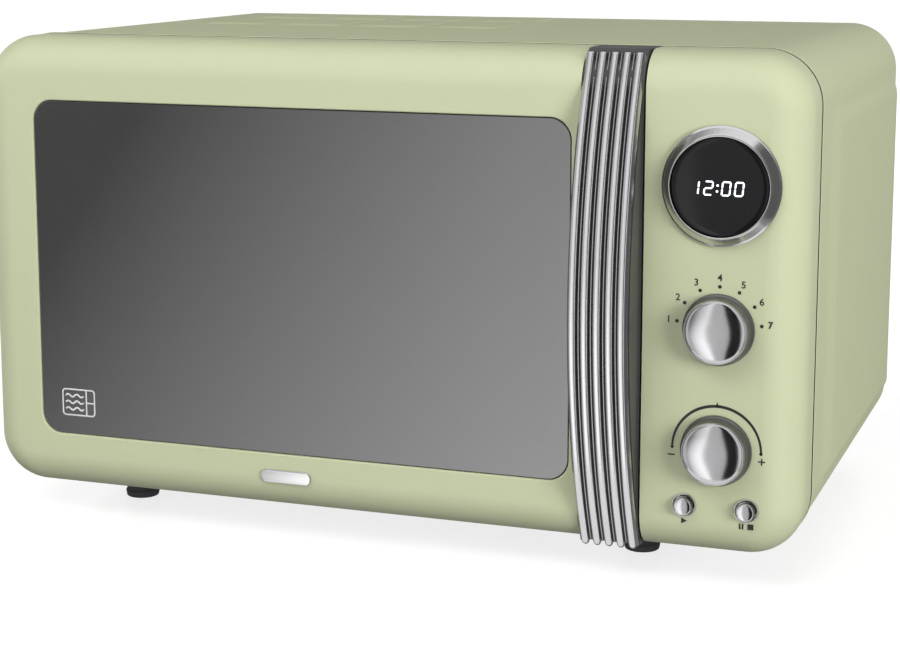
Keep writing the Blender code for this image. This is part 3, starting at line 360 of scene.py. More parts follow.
def finish_of(
    name, color, rough, metallic=0.0, vary=0.04, vary_scale=28.0, rough_vary=0.06, grain=0.02,
    grain_scale=1400.0, stretch=(1.0, 1.0, 1.0), coat=0.0, specular=0.5, ior=1.5, transmission=0.0,
    spots=None, holes=None, radial=False,
):
    """A Principled material: colour that drifts by vary, roughness by rough_vary, and a bump of grain mm.

    stretch squeezes the grain along an axis into brush marks, and radial wraps it round the piece's Y axis.
    spots is (colour, share, scale) for flecks, as in enamel, mica or zinc. holes is a screen's (pitch, radius).
    """
    look = bpy.data.materials.new(name)
    look.use_nodes = True
    add = node_maker(look)
    shader = look.node_tree.nodes["Principled BSDF"]
    link = look.node_tree.links.new

    def mixed(factor, first, second):
        """The colour that goes from first to second with factor."""
        mix = add("ShaderNodeMix", {"data_type": "RGBA"}, Factor=factor.outputs[0], i6=first, i7=second)
        return mix.outputs[2]

    where = add("ShaderNodeTexCoord").outputs["Object"]
    if radial:
        flat = add("ShaderNodeVectorMath", {"operation": "MULTIPLY"}, i0=where, i1=(1.0, 0.0, 1.0))
        distance = add("ShaderNodeVectorMath", {"operation": "LENGTH"}, i0=flat.outputs[0])
        grain_place = add("ShaderNodeCombineXYZ", X=distance.outputs["Value"])
    else:
        grain_place = add("ShaderNodeMapping", Vector=where, Scale=stretch)
    fine_at = grain_place.outputs[0]
    drift = add("ShaderNodeTexNoise", Vector=where, Scale=vary_scale, Detail=4.0, Roughness=0.55)
    fine = add("ShaderNodeTexNoise", Vector=fine_at, Scale=grain_scale, Detail=3.0, Roughness=0.6)
    both = add("ShaderNodeMath", {"operation": "ADD"}, i0=drift.outputs["Fac"], i1=fine.outputs["Fac"])
    share = add("ShaderNodeMapRange", Value=both.outputs[0], i1=0.6, i2=1.4, i3=0.0, i4=1.0)
    result = mixed(share, shade(color, 1 - vary), shade(color, 1 + vary))
    if spots:
        fleck, amount, size = spots
        cells = add("ShaderNodeTexNoise", Vector=where, Scale=size, Detail=1.0).outputs["Fac"]
        start, end = 1 - amount, 1 - amount + 0.05
        mask = add("ShaderNodeMapRange", Value=cells, i1=start, i2=end)
        result = mixed(mask, result, (*fleck, 1.0))
    if holes:
        pitch, radius = holes
        grid = add("ShaderNodeTexVoronoi", Vector=where, Scale=1 / pitch, Randomness=0.0).outputs["Distance"]
        mask = add("ShaderNodeMapRange", Value=grid, i1=radius / pitch, i2=radius / pitch * 1.15)
        result = mixed(mask, (0.006, 0.006, 0.006, 1.0), result)
    link(result, shader.inputs["Base Color"])
    lowest, highest = max(rough - rough_vary, 0.02), min(rough + rough_vary, 1)
    worn = add("ShaderNodeMapRange", Value=both.outputs[0], i1=0.6, i2=1.4, i3=lowest, i4=highest)
    link(worn.outputs[0], shader.inputs["Roughness"])
    bump = add("ShaderNodeBump", Strength=1.0, Distance=grain * 0.001, Height=fine.outputs["Fac"])
    link(bump.outputs[0], shader.inputs["Normal"])
    shader.inputs["Metallic"].default_value = metallic
    shader.inputs["IOR"].default_value = ior
    shader.inputs["Specular IOR Level"].default_value = specular
    shader.inputs["Coat Weight"].default_value = coat
    shader.inputs["Coat Roughness"].default_value = 0.12
    shader.inputs["Transmission Weight"].default_value = transmission
    return look


def glowing(look, color, strength):
    """Adds even light of one colour to a material."""
    shader = look.node_tree.nodes["Principled BSDF"]
    shader.inputs["Emission Color"].default_value = (*color, 1.0)
    shader.inputs["Emission Strength"].default_value = strength
    return look


GREEN = (0.465, 0.497, 0.322)
LIT = (0.92, 0.95, 1.0)
FINISHES = {
    "green_gloss": dict(color=GREEN, rough=0.42, vary=0.016, grain=0.010, grain_scale=900, specular=0.38),
    "green_enamel": dict(
        color=shade(GREEN, 0.93)[:3], rough=0.55, vary=0.018, grain=0.025, grain_scale=1500, specular=0.12
    ),
    "brushed": dict(
        color=(0.66, 0.66, 0.67), rough=0.20, metallic=1.0, rough_vary=0.05, grain=0.004, grain_scale=2600,
        stretch=(1.0, 0.2, 0.004),
    ),
    # Painted shade: the handle strip's grooves get this near-black metal in place of the shadow in them.
    "groove_painted_shade": dict(
        color=(0.045, 0.045, 0.047), rough=0.38, metallic=0.6, vary=0.10, grain=0.01, stretch=(1.0, 0.2, 0.01)
    ),
    # Partly painted shade: the knobs' sides are a darker copy of the spun metal in place of the dark they reflect;
    # their rougher brushed grain is their own.
    "spun_side_painted_shade": dict(
        color=(0.20, 0.20, 0.21), rough=0.40, metallic=0.9, vary=0.16, grain=0.03, grain_scale=2400,
        stretch=(0.03, 1.0, 0.03),
    ),
    "polished": dict(
        color=(0.72, 0.72, 0.73), rough=0.13, metallic=1.0, vary=0.03, rough_vary=0.03, grain=0.004
    ),
    "spun": dict(
        color=(0.57, 0.57, 0.58), rough=0.13, metallic=1.0, rough_vary=0.03, grain=0.008, grain_scale=5200,
        radial=True,
    ),
    "satin": dict(
        color=(0.70, 0.70, 0.71), rough=0.17, metallic=1.0, vary=0.05, rough_vary=0.04, grain=0.012,
        grain_scale=5200, radial=True,
    ),
    "column": dict(color=(0.046, 0.046, 0.047), rough=0.42, vary=0.12, grain=0.05, grain_scale=2400),
    "black": dict(color=(0.018, 0.018, 0.019), rough=0.40, vary=0.12, grain=0.04, grain_scale=2200),
    "rubber": dict(color=(0.022, 0.022, 0.023), rough=0.75, vary=0.2, grain=0.08, grain_scale=1800),
    "pane": dict(
        color=(0.020, 0.020, 0.021), rough=0.06, ior=2.4, vary=0.10, rough_vary=0.02, grain=0.001,
        grain_scale=300,
    ),
    "lens": dict(color=(0.008, 0.008, 0.009), rough=0.10, ior=1.32, vary=0.10, rough_vary=0.02, grain=0.001),
    "ink": dict(color=(0.014, 0.014, 0.014), rough=0.55, vary=0.2),
    "silver_ink": dict(color=(0.62, 0.62, 0.62), rough=0.45, vary=0.05),
    "digits": dict(color=LIT, rough=0.5),
    "zinc": dict(
        color=(0.50, 0.51, 0.52), rough=0.42, metallic=0.85, vary=0.06, vary_scale=70,
        spots=((0.545, 0.555, 0.565), 0.45, 110.0),
    ),
    "screen": dict(color=(0.30, 0.30, 0.30), rough=0.45, holes=(0.0024, 0.0008)),
    # Partly painted shade: the front frame's near-black grey is its paint, made this dark so that the seam before
    # it reads as a shadow line.
    "frame_grey": dict(color=(0.045, 0.045, 0.044), rough=0.48, vary=0.08, grain=0.04, grain_scale=1200),
    "enamel": dict(
        color=(0.50, 0.505, 0.50), rough=0.28, vary=0.05, coat=0.3, spots=((0.16, 0.17, 0.18), 0.36, 900.0)
    ),
    "mica": dict(
        color=(0.55, 0.48, 0.36), rough=0.35, vary=0.22, vary_scale=160, grain=0.06,
        spots=((0.70, 0.66, 0.55), 0.4, 420.0),
    ),
    "clear": dict(
        color=(0.93, 0.96, 0.94), rough=0.03, transmission=1.0, vary=0.01, rough_vary=0.01, grain=0.0004
    ),
    "white_plastic": dict(color=(0.78, 0.78, 0.75), rough=0.42, vary=0.03, grain=0.03),
    "steel": dict(
        color=(0.58, 0.58, 0.57), rough=0.30, metallic=1.0, vary=0.07, grain=0.03, stretch=(1.0, 0.2, 1.0)
    ),
    "board": dict(color=(0.05, 0.20, 0.08), rough=0.40, vary=0.10, vary_scale=220, grain=0.03),
}
LOOK = {name: finish_of(name, **finish) for name, finish in FINISHES.items()}
glowing(LOOK["digits"], LIT, 1.1)

# ================================================================ the rounded front
SLAB_LOW = Vector((FACE_LEFT, FACE_Y, FACE_BOTTOM))
SLAB_HIGH = Vector((FACE_RIGHT, DOOR_REAR, FACE_TOP))
HINGE_ROUND = 0.0115
EYE_WALL, EYE_CAP = 0.0020, 0.0017


def face_part(name, left, right):
    """The stretch of the rounded front between two planes."""
    part = front_slab(name, SLAB_LOW, SLAB_HIGH, FACE_CORNER, FACE_FILLET, front_steps=14, steps=16)
    return slice_between(part, left, right)


def face_hollow(name, left, right):
    """The room behind such a stretch's walls, open at the back."""
    inset = Vector((WALL, WALL, WALL))
    low, high = SLAB_LOW + inset, SLAB_HIGH - inset
    high.y = SLAB_HIGH.y + WALL
    hollow = front_slab(name, low, high, FACE_CORNER - WALL, FACE_FILLET - WALL, front_steps=8)
    return slice_between(hollow, left, right)


def flared_hole(name, outline_at, rounding):
    """A cutter through the face whose mouth is rounded: outline_at(grow) gives its (x, z) outline."""
    rings = [(rounding * 1.6, -rounding * 0.8), *quarter_turn(rounding, 4), (0.0, WALL + 0.006)]
    return loft(name, [[(a, FACE_Y + y, b) for a, b in outline_at(grow)] for grow, y in rings])


def round_hole(name, centre, radius, rounding=GAP):
    return flared_hole(name, lambda grow: circle_points(centre.x, centre.z, radius + grow, 72), rounding)


def window_outline(grow):
    """The window's opening, a gap wider than the pane and wider still by grow."""
    edge = grow + GAP
    sides = (GLASS_LOW.x - edge, GLASS_HIGH.x + edge, GLASS_LOW.z - edge, GLASS_HIGH.z + edge)
    return rounded_outline(*sides, WINDOW_CORNER + grow, 14)


def upright_post(name, x, y, radius, start, end, sides=32):
    """A round post along Z between two heights."""
    low, high = sorted((start, end))
    return turned(name, [(0, low), (radius, low), (radius, high), (0, high)], (x, y, 0), (0, 0, 1), sides)


def add_hinge_eyes(door):
    """A webbed boss round each hinge pin, and the slit that lets the fixed lug pass as the door turns."""
    for place, outward in (("lower", -1), ("upper", 1)):
        pin_low, pin_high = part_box(f"{place}_hinge_pin")
        lug_low, lug_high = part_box(f"{place}_hinge_bracket")
        x, y = (pin_low.x + pin_high.x) / 2, (pin_low.y + pin_high.y) / 2
        radius = (pin_high.x - pin_low.x) / 2
        lug = (lug_low.z + lug_high.z) / 2
        room = LUG_HALF_THICK + 2 * GAP
        start = lug + outward * room
        tip = (pin_high.z if outward > 0 else pin_low.z) + outward * GAP
        end = tip + outward * EYE_CAP
        boss = upright_post("boss", x, y, radius + EYE_WALL, start, end)
        web_low = (x - 0.003, y - 0.002, min(start, end) + 0.001)
        web = box_solid("web", web_low, (x + 0.002, y + 0.002, max(start, end)))
        socket = upright_post("socket", x, y, radius + GAP / 2, start - outward * 0.001, tip)
        reach = 2 * (x - lug_low.x)
        slit_low = (FACE_LEFT - WALL, y - reach, lug - room)
        slit = box_solid("slit", slit_low, (x + reach, DOOR_REAR + WALL, lug + room))
        boolean(door, boss, "UNION")
        boolean(door, web, "UNION")
        carve(door, socket, slit)


def rim_recess(left, right):
    """A cutter for the room of the choke cover's rim, between two planes."""
    low = (left, RIM_LOW.y - GAP, RIM_LOW.z - GAP)
    return box_solid("recess", low, (right, DOOR_REAR + CLEAR, RIM_HIGH.z + GAP))


def make_door():
    """The door's green front: a hollow shell with the window's opening and a rounded hinge edge."""
    door = face_part("door_front", FACE_LEFT - WALL, DOOR_HIGH.x)
    hollow = face_hollow("hollow", FACE_LEFT, DOOR_HIGH.x - WALL)
    mouth = flared_hole("mouth", window_outline, WINDOW_ROUND)
    carve(door, hollow, mouth, rim_recess(RIM_LOW.x + 0.2, DOOR_HIGH.x + CLEAR))
    turn_x, turn_y = FACE_LEFT + HINGE_ROUND, DOOR_REAR - HINGE_ROUND
    corner_high = (turn_x, DOOR_REAR + CLEAR, FACE_TOP + CLEAR)
    corner = box_solid("corner", (FACE_LEFT - CLEAR, turn_y, -CLEAR), corner_high)
    carve(corner, upright_post("post", turn_x, turn_y, HINGE_ROUND, -CLEAR * 2, FACE_TOP + CLEAR * 2, 64))
    carve(door, corner)
    add_hinge_eyes(door)
    smooth(door, 30, SOFT)
    fit(door, "door", "green_gloss", "door_frame", slot="green_plastic")


def make_pane():
    """The grey window, one flat sheet with softly rounded edges."""
    edge, rear_edge = 0.0005, 0.0003
    pane = front_slab("window_pane", GLASS_LOW, GLASS_HIGH, WINDOW_CORNER, edge, rear_edge, 4, 14)
    smooth(pane, 40, flat=True)
    fit(pane, "door", "pane", "door_glass", slot="grey_glass")


def make_icon():
    """A generic printed sign for heat, three waves beside two blank fields, in a rounded outline."""
    line = 0.00040
    y = GLASS_LOW.y - line * 0.4
    left, right, low, high = -0.1745, -0.1555, 0.0571, 0.0711
    split, middle = -0.1604, 0.0641
    margin, length, swing, first, pitch = 0.0018, 0.0106, 0.0007, 0.0034, 0.0036
    steps, press, proud = 32, 0.25, 0.00005
    outline = [(a, y, b) for a, b in rounded_outline(left, right, low, high, 0.0016, 6)]
    parts = [
        tube("outline", outline, line, closed=True),
        tube("split", [(split, y, low), (split, y, high)], line),
        tube("shelf", [(split, y, middle), (right, y, middle)], line),
    ]
    for k in range(3):
        height = low + first + pitch * k
        shares = [i / steps for i in range(steps + 1)]
        wave = [(left + margin + length * t, y, height + swing * sin(2 * tau * t)) for t in shares]
        parts.append(tube(f"wave_{k}", wave, line * 1.15))
    icon = merge("window_icon", parts)
    for vertex in icon.data.vertices:
        vertex.co.y = GLASS_LOW.y + (vertex.co.y - y) * press - proud
    smooth(icon, 60)
    fit(icon, "door", "silver_ink")


# ================================================================ the handle
BOW_HALF = (TRIM_HIGH.z - TRIM_LOW.z) / 2
BOW_MIDDLE = (TRIM_HIGH.z + TRIM_LOW.z) / 2
BOW = 0.0285
BOW_RADIUS = (BOW_HALF**2 + BOW**2) / (2 * BOW)
RIDGES = 5
RIDGE_PITCH = (TRIM_HIGH.x - TRIM_LOW.x) / RIDGES
GROOVE_FLOOR = 0.0023
SCOOP_LOW = Vector((GRIP_LOW.x - 0.001, FACE_Y - 0.0125, 0.095))
SCOOP_HIGH = Vector((GRIP_HIGH.x - 0.011, FACE_Y - GAP, 0.176))


def bow_point(x, along, depth):
    """A point on the handle's bow, some way along it from its middle and sunk by depth towards its centre."""
    angle = along / BOW_RADIUS
    radius = BOW_RADIUS - depth
    return (x, TRIM_LOW.y + BOW_RADIUS - radius * cos(angle), BOW_MIDDLE + radius * sin(angle))


def strip_profile():
    """(x, depth, look) across the strip: broad ridges, and in each of the grooves between them a thin rib. The
    grooves' dark look is painted shade.
    """
    half, foot, rib = RIDGE_PITCH * 0.285, RIDGE_PITCH * 0.315, RIDGE_PITCH * 0.045
    edge, rib_top, rib_shoulder, steps = 0.0005, 0.0010, 0.0012, 6
    ridge, groove_painted_shade, thin = 0, 1, 2
    points = []
    for k in range(RIDGES):
        centre = TRIM_LOW.x + RIDGE_PITCH * (k + 0.5)
        if k:
            points.append((centre - foot, GROOVE_FLOOR, ridge))
        for i in range(-steps, steps + 1):
            t = i / steps
            points.append((centre + half * t, edge * t**4, ridge))
        if k == RIDGES - 1:
            break
        points.append((centre + foot, GROOVE_FLOOR, groove_painted_shade))
        seat = centre + RIDGE_PITCH / 2
        for reach, depth, look in (
            (-1.9, GROOVE_FLOOR, thin), (-1, rib_shoulder, thin), (-0.4, rib_top, thin),
            (0.4, rib_top, thin), (1, rib_shoulder, thin), (1.9, GROOVE_FLOOR, groove_painted_shade),
        ):
            points.append((seat + rib * reach, depth, look))
    return points


def make_strip():
    """The bright ribbed strip: its profile swept along the bow, straight at the top and scalloped below."""
    profile = strip_profile()
    half = BOW_RADIUS * asin(BOW_HALF / BOW_RADIUS) - HAIR
    scallop, stations = 0.0015, 96
    scallop_half, scallop_most, behind = 0.67, 1.3, 0.8
    top_roll, low_roll = (0.0005, 0.0003), (0.0016, 0.0008)
    side, bevel, shoulder, rear = 0.00015, 0.0006, 0.0024, TRIM_THICK - GAP
    right, left = TRIM_HIGH.x - side, TRIM_LOW.x + side
    back = [(right, shoulder), (right - bevel, rear), (left + bevel, rear), (left, shoulder)]
    rows = []
    for i in range(stations + 1):
        # Stations crowd towards both ends, where the ridges roll over.
        t = sin((i / stations - 0.5) * pi)
        length, sunk = top_roll if t > 0 else low_roll
        row = []
        for x, depth, _ in profile:
            across = abs(((x - TRIM_LOW.x) / RIDGE_PITCH) % 1.0 - 0.5) * 2
            end = half if t > 0 else half - scallop * min(across / scallop_half, scallop_most) ** 2
            along = end * t
            roll = sunk * (1 - min(end - abs(along), length) / length) ** 2
            row.append(bow_point(x, along, depth + roll))
        rows.append(row + [bow_point(x, (half - scallop * behind) * t, depth) for x, depth in back])
    strip = loft("handle_strip", rows)
    smooth(strip, 38)
    fit(strip, "door", ("brushed", "groove_painted_shade", "steel"), "handle_trim", slot="chrome")
    around = len(rows[0])
    # Ridge faces get the bright metal, the grooves' faces the near-black painted shade, and the ribs the steel.
    for face in strip.data.polygons[: stations * around]:
        step = face.index % around
        if step < len(profile) - 1:
            face.material_index = profile[step][2]


def make_column():
    """The dark column behind the strip, with the scoop for the fingers."""
    half_width, bow_radius = 0.0146, BOW_RADIUS - TRIM_THICK - GAP
    centre = ((GRIP_LOW.x + GRIP_HIGH.x) / 2, TRIM_LOW.y + BOW_RADIUS, BOW_MIDDLE)
    disc = [(0, -half_width), (bow_radius, -half_width), (bow_radius, half_width), (0, half_width)]
    column = turned("handle_column", disc, centre, (1, 0, 0), 320)
    column.data.transform(Matrix.Translation(column.location))
    column.location = (0, 0, 0)
    keep_low = (GRIP_LOW.x, FACE_Y - 0.05, GRIP_LOW.z)
    keep = box_solid("keep", keep_low, (GRIP_HIGH.x, DOOR_REAR - FACE_FILLET / 2, GRIP_HIGH.z))
    boolean(column, keep, "INTERSECT")
    boolean(column, face_part("column", GRIP_LOW.x, GRIP_HIGH.x), "UNION")
    scoop = front_slab("scoop", SCOOP_LOW, SCOOP_HIGH, 0.006, 0.003, 0.001, front_steps=6)
    hollow = face_hollow("grip_hollow", GRIP_LOW.x + WALL, GRIP_HIGH.x - WALL)
    carve(column, scoop, hollow, rim_recess(GRIP_LOW.x - CLEAR, RIM_HIGH.x + GAP))
    smooth(column, 28, SOFT)
    fit(column, "door", "column", "handle_grip", slot="dark_plastic")


def make_nameplate():
    """A plain bright lozenge where a nameplate would be."""
    corner = (BADGE_HIGH.z - BADGE_LOW.z) / 2 - 0.0001
    lozenge = front_slab("blank_plate", BADGE_LOW, BADGE_HIGH, corner, 0.0006, 0.0001, 5, 14)
    smooth(lozenge, 50)
    fit(lozenge, "door", "polished", "badge", slot="chrome")


# ================================================================ the controls
def centre_of(node):
    low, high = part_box(node)
    return (low + high) / 2


RING = centre_of("display_bezel")
SELECTOR = centre_of("selector_knob")
TIMER = centre_of("timer_knob")
START = centre_of("start_button")
STOP = centre_of("stop_button")
LENS_RADIUS = (LENS_HIGH.x - LENS_LOW.x) / 2
RING_RADIUS = (RING_HIGH.x - RING_LOW.x) / 2
LENS_HOLE, SHAFT_HOLE = 0.0235, 0.0042
BUTTON_RADIUS, BUTTON_ROUND = 0.0046, 0.0006
KNOB_FACE, KNOB_INSIDE = 0.0150, 0.0045
INK = 0.00006
MARKS = 7
MARK_SWEEP = 82


def make_panel():
    """The green panel beside the door, with the openings for its controls."""
    panel = face_part("control_fascia", PANEL_LOW.x, FACE_RIGHT + WALL)
    carve(
        panel,
        face_hollow("panel_hollow", PANEL_LOW.x + WALL, FACE_RIGHT),
        round_hole("display_hole", RING, LENS_HOLE),
        round_hole("selector_hole", SELECTOR, SHAFT_HOLE),
        round_hole("timer_hole", TIMER, SHAFT_HOLE),
        round_hole("start_hole", START, BUTTON_RADIUS + GAP, BUTTON_ROUND),
        round_hole("stop_hole", STOP, BUTTON_RADIUS + GAP, BUTTON_ROUND),
    )
    smooth(panel, 30, SOFT)
    fit(panel, "housing", "green_gloss", "control_panel", slot="green_plastic")


def make_ring():
    """The display's bright ring, which rises in a cone to a thin inner lip."""
    outer, inner, rise = RING_RADIUS, LENS_RADIUS + GAP, FACE_Y - RING_LOW.y
    profile = [
        (inner, GAP, 0), (inner, rise - 0.0003, 0.0002), (inner + 0.00045, rise, 0.00025),
        (inner + 0.0008, rise - 0.0006, 0.0003), (inner + 0.0011, rise - 0.0008, 0.0003),
        (outer - 0.0010, 0.0027, 0.0005), (outer - 0.0006, 0.0024, 0.0002), (outer, 0.0020, 0.0007),
        (outer, GAP, 0),
    ]
    ring = turned("display_ring", rounded_profile(profile, 6), (RING.x, FACE_Y, RING.z), sides=160, ring=True)
    smooth(ring, 42)
    fit(ring, "housing", "satin", "display_bezel", slot="chrome")


def make_lens():
    """The display's dark lens, slightly domed and with a small step at its rim."""
    front, rear, dome, rim, arc = FACE_Y - LENS_LOW.y, FACE_Y - LENS_HIGH.y, 0.0005, 0.0003, radians(24)
    steps = 8
    angles = [arc * i / steps for i in range(steps + 1)]
    profile = [
        ((LENS_RADIUS - rim) * sin(angle) / sin(arc), front - dome * (1 - cos(angle)) / (1 - cos(arc)))
        for angle in angles
    ]
    profile += [(LENS_RADIUS, front - dome - rim), (LENS_RADIUS, rear), (0, rear)]
    lens = turned("display_lens", profile, (RING.x, FACE_Y, RING.z), sides=128)
    smooth(lens, 50)
    fit(lens, "housing", "lens", "display_window", slot="grey_glass")


def make_digits():
    """12:00 in slanted lit segments on the lens."""
    height, width, bar, lean, dot = 0.0062, 0.0037, 0.00037, 0.10, 0.0005
    half = height / 2
    base = RING.z - half - 0.0005
    front = LENS_LOW.y - 0.00005 - INK
    back = front + INK + 0.0006
    ends = {
        "a": ((0, height), (width, height)), "b": ((width, half), (width, height)),
        "c": ((width, 0), (width, half)), "d": ((0, 0), (width, 0)), "e": ((0, 0), (0, half)),
        "f": ((0, half), (0, height)), "g": ((0, half), (width, half)),
    }
    digits = ((-0.0136, "bc"), (-0.0070, "abged"), (0.0013, "abcdef"), (0.0074, "abcdef"))
    parts = []
    for left, segments in digits:
        for segment in segments:
            start, end = (Vector(point) for point in ends[segment])
            along = (end - start).normalized() * bar
            side = Vector((-along.y, along.x))
            start, end = start + along * 1.25, end - along * 1.25
            shape = [start - along, start - side, end - side, end + along, end + side, start + side]
            outline = [(RING.x + left + p.x + lean * (p.y - half), base + p.y) for p in shape]
            parts.append(plate("segment", outline, front, back))
    for z in (height * 0.28, height * 0.72):
        x = RING.x - 0.0010 + lean * (z - half)
        outline = rounded_outline(x - dot, x + dot, base + z - dot, base + z + dot, 0.00035, 4)
        parts.append(plate("dot", outline, front, back))
    fit(merge("display_digits", parts), "housing", "digits")


def knob_shape(rise, radius):
    """(radius, height) points of a knob's outside: a low dome with a lip, on a side that widens below."""
    steps, crown, lip = 16, 0.0019, 0.0008
    dome_edge, shoulder = KNOB_FACE - lip, rise - crown
    dome = [(dome_edge * i / steps, rise - crown * (i / steps) ** 3) for i in range(steps + 1)]
    side = [
        (dome_edge, shoulder, 0), (dome_edge + 0.0002, shoulder - 0.0002, 0.0001),
        (KNOB_FACE - 0.0001, shoulder, 0.0004), (KNOB_FACE + 0.0004, shoulder - 0.0010, 0.0005),
        (radius - 0.0012, 0.0030, 0.0010), (radius - 0.0002, 0.0024, 0.0005), (radius, 0.0008, 0.0003),
        (radius - 0.0020, 0.0008, 0),
    ]
    return dome + rounded_profile(side)[1:]


def make_knob(node, name, body, socket):
    """A turning knob whose hollow inside ends in a socket, a list of (radius, height)."""
    low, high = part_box(node)
    middle, rise, radius = (low + high) / 2, FACE_Y - low.y, (high.x - low.x) / 2
    inside = rise - KNOB_INSIDE
    hub = [(0.0132, inside), (0.0060, inside), (0.0052, 0.0014)]
    knob = turned(name, knob_shape(rise, radius) + hub + socket, (middle.x, FACE_Y, middle.z), sides=128)
    smooth(knob, 40)
    fit(knob, body, ("spun", "spun_side_painted_shade"), node, slot="chrome")
    # Faces outside the knob's face take the darker side look, which is partly painted shade.
    for face in knob.data.polygons:
        face.material_index = int(hypot(face.center.x, face.center.z) > KNOB_FACE + 0.0003)


def make_knobs():
    """The selector's knob carries its own shaft, and the timer's is bored for a shaft of the frame."""
    shaft_end = FACE_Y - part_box("selector_knob")[1].y
    shaft = [(0.0032, 0.0014), (0.0030, shaft_end), (0, shaft_end)]
    bore = [(0.0032, 0.0014), (0.0021, 0.0014), (0.0021, 0.0074), (0, 0.0074)]
    make_knob("selector_knob", "selector_cap", "selector", shaft)
    make_knob("timer_knob", "timer_cap", "timer", bore)


def make_buttons():
    """Two domed push buttons, each with a flange behind the panel and a bright collar round it."""
    radius, steps = BUTTON_RADIUS, 12
    top, crown, edge, side = 0.0044, 0.0004, radius * 0.86, radius * 0.97
    flange, flange_rear, stem = radius + 0.0014, -WALL - 0.0015, 0.002
    collar_inner = radius + HAIR + 2 * GAP
    dome = [(edge * i / steps, top - crown * (i / steps) ** 2.5) for i in range(steps + 1)]
    dome += rounded_profile([(edge, top - crown, 0), (side, 0.0036, 0.0004), (side, 0.0010, 0)], 4)[1:]
    collar_shape = [
        (collar_inner, GAP * 0.2, 0), (collar_inner, 0.0011, 0.0004), (radius + 0.0012, 0.0010, 0.0004),
        (radius + 0.0016, GAP * 0.2, 0),
    ]
    for name, centre in (("start", START), ("stop", STOP)):
        node = f"{name}_button"
        stem_end = FACE_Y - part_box(node)[1].y
        behind = [
            (radius, 0.0010), (radius, -WALL - GAP), (flange, -WALL - GAP), (flange, flange_rear),
            (stem, flange_rear), (stem, stem_end), (0, stem_end),
        ]
        place = (centre.x, FACE_Y, centre.z)
        button = turned(f"{name}_cap", dome + behind, place, sides=80)
        smooth(button, 40)
        fit(button, name, "spun", node, slot="chrome")
        collar = turned(f"{name}_collar", rounded_profile(collar_shape), place, sides=80, ring=True)
        smooth(collar, 50)
        fit(collar, "housing", "polished")


def text_shape(words, x, z, size):
    """Flat raised text, centred on (x, z)."""
    curve = bpy.data.curves.new("words", "FONT")
    curve.body, curve.size = words, size
    curve.align_x, curve.align_y = "CENTER", "CENTER"
    curve.extrude, curve.offset = INK / 2, size * 0.022
    obj = mesh_of_curve("words", curve)
    obj.data.transform(Matrix.Translation((x, FACE_Y - INK / 2, z)) @ Matrix.Rotation(pi / 2, 4, "X"))
    return obj


def selector_marks():
    """Outlines of the dots round the selector, and their numerals."""
    dot_reach, number_reach, dot, size = 0.0204, 0.0245, 0.0009, 0.0046
    dots, numbers = [], []
    for k in range(MARKS):
        angle = radians(-MARK_SWEEP + k * 2 * MARK_SWEEP / (MARKS - 1))
        across, up = sin(angle), cos(angle)
        dots.append(circle_points(SELECTOR.x + dot_reach * across, SELECTOR.z + dot_reach * up, dot, 20))
        place = (SELECTOR.x + number_reach * across, SELECTOR.z + number_reach * up)
        numbers.append(text_shape(str(k + 1), *place, size))
    return dots, numbers


def timer_marks():
    """Outlines of the arc over the timer, broadest in its middle, its two ends, its tick and its signs."""
    steps, radius, thin, swell, end = 48, 0.0214, 0.0005, 0.00022, 0.0008
    tick, tick_rise = 0.0007, 0.0022
    bar, thick, sign_reach, sign_drop = 0.0017, 0.00035, 0.0218, 0.0038
    outer, inner = [], []
    for i in range(steps + 1):
        angle = radians(-90 + 180 * i / steps)
        width = thin + swell * cos(angle)
        for reach, side in ((radius + width, outer), (radius - width, inner)):
            side.append((TIMER.x + reach * sin(angle), TIMER.z + reach * cos(angle)))
    top = TIMER.z + radius
    shapes = [outer + inner[::-1], [(TIMER.x - tick, top), (TIMER.x + tick, top), (TIMER.x, top + tick_rise)]]
    for side in (-1, 1):
        shapes.append(circle_points(TIMER.x + side * radius, TIMER.z, end, 16))
        shapes.append(rectangle(TIMER.x + side * sign_reach, TIMER.z - sign_drop, bar, thick))
    return shapes, rectangle(TIMER.x + sign_reach, TIMER.z - sign_drop, thick, bar)


def button_marks():
    """Outlines of a play sign under one button, and of a pause and a stop sign under the other."""
    z = START.z - 0.0078
    half, blunt = 0.0014, 0.0002
    play_left, play_tip, play_half = START.x - 0.0012, START.x + 0.0016, 0.0015
    x = STOP.x + 0.0022
    return [
        [(play_left, z - play_half), (play_tip, z), (play_left, z + play_half)],
        rectangle(STOP.x - 0.0030, z, 0.0004, half),
        rectangle(STOP.x - 0.0016, z, 0.0004, half),
        rounded_outline(x - half, x + half, z - half, z + half, blunt, 2),
    ]


def make_marks():
    """Printed marks: numbered dots round the upper knob, an arc over the lower one, and button signs."""
    front, back = FACE_Y - INK, FACE_Y + 0.0001
    dots, numbers = selector_marks()
    shapes, upright_bar = timer_marks()
    parts = [plate("mark", shape, front, back) for shape in dots + shapes + button_marks()]
    # The plus sign's upright bar stands a hair prouder than its level one, so that no two faces coincide.
    parts.append(plate("upright_bar", upright_bar, front - 0.00001, back))
    fit(merge("panel_marks", parts + numbers), "housing", "ink")


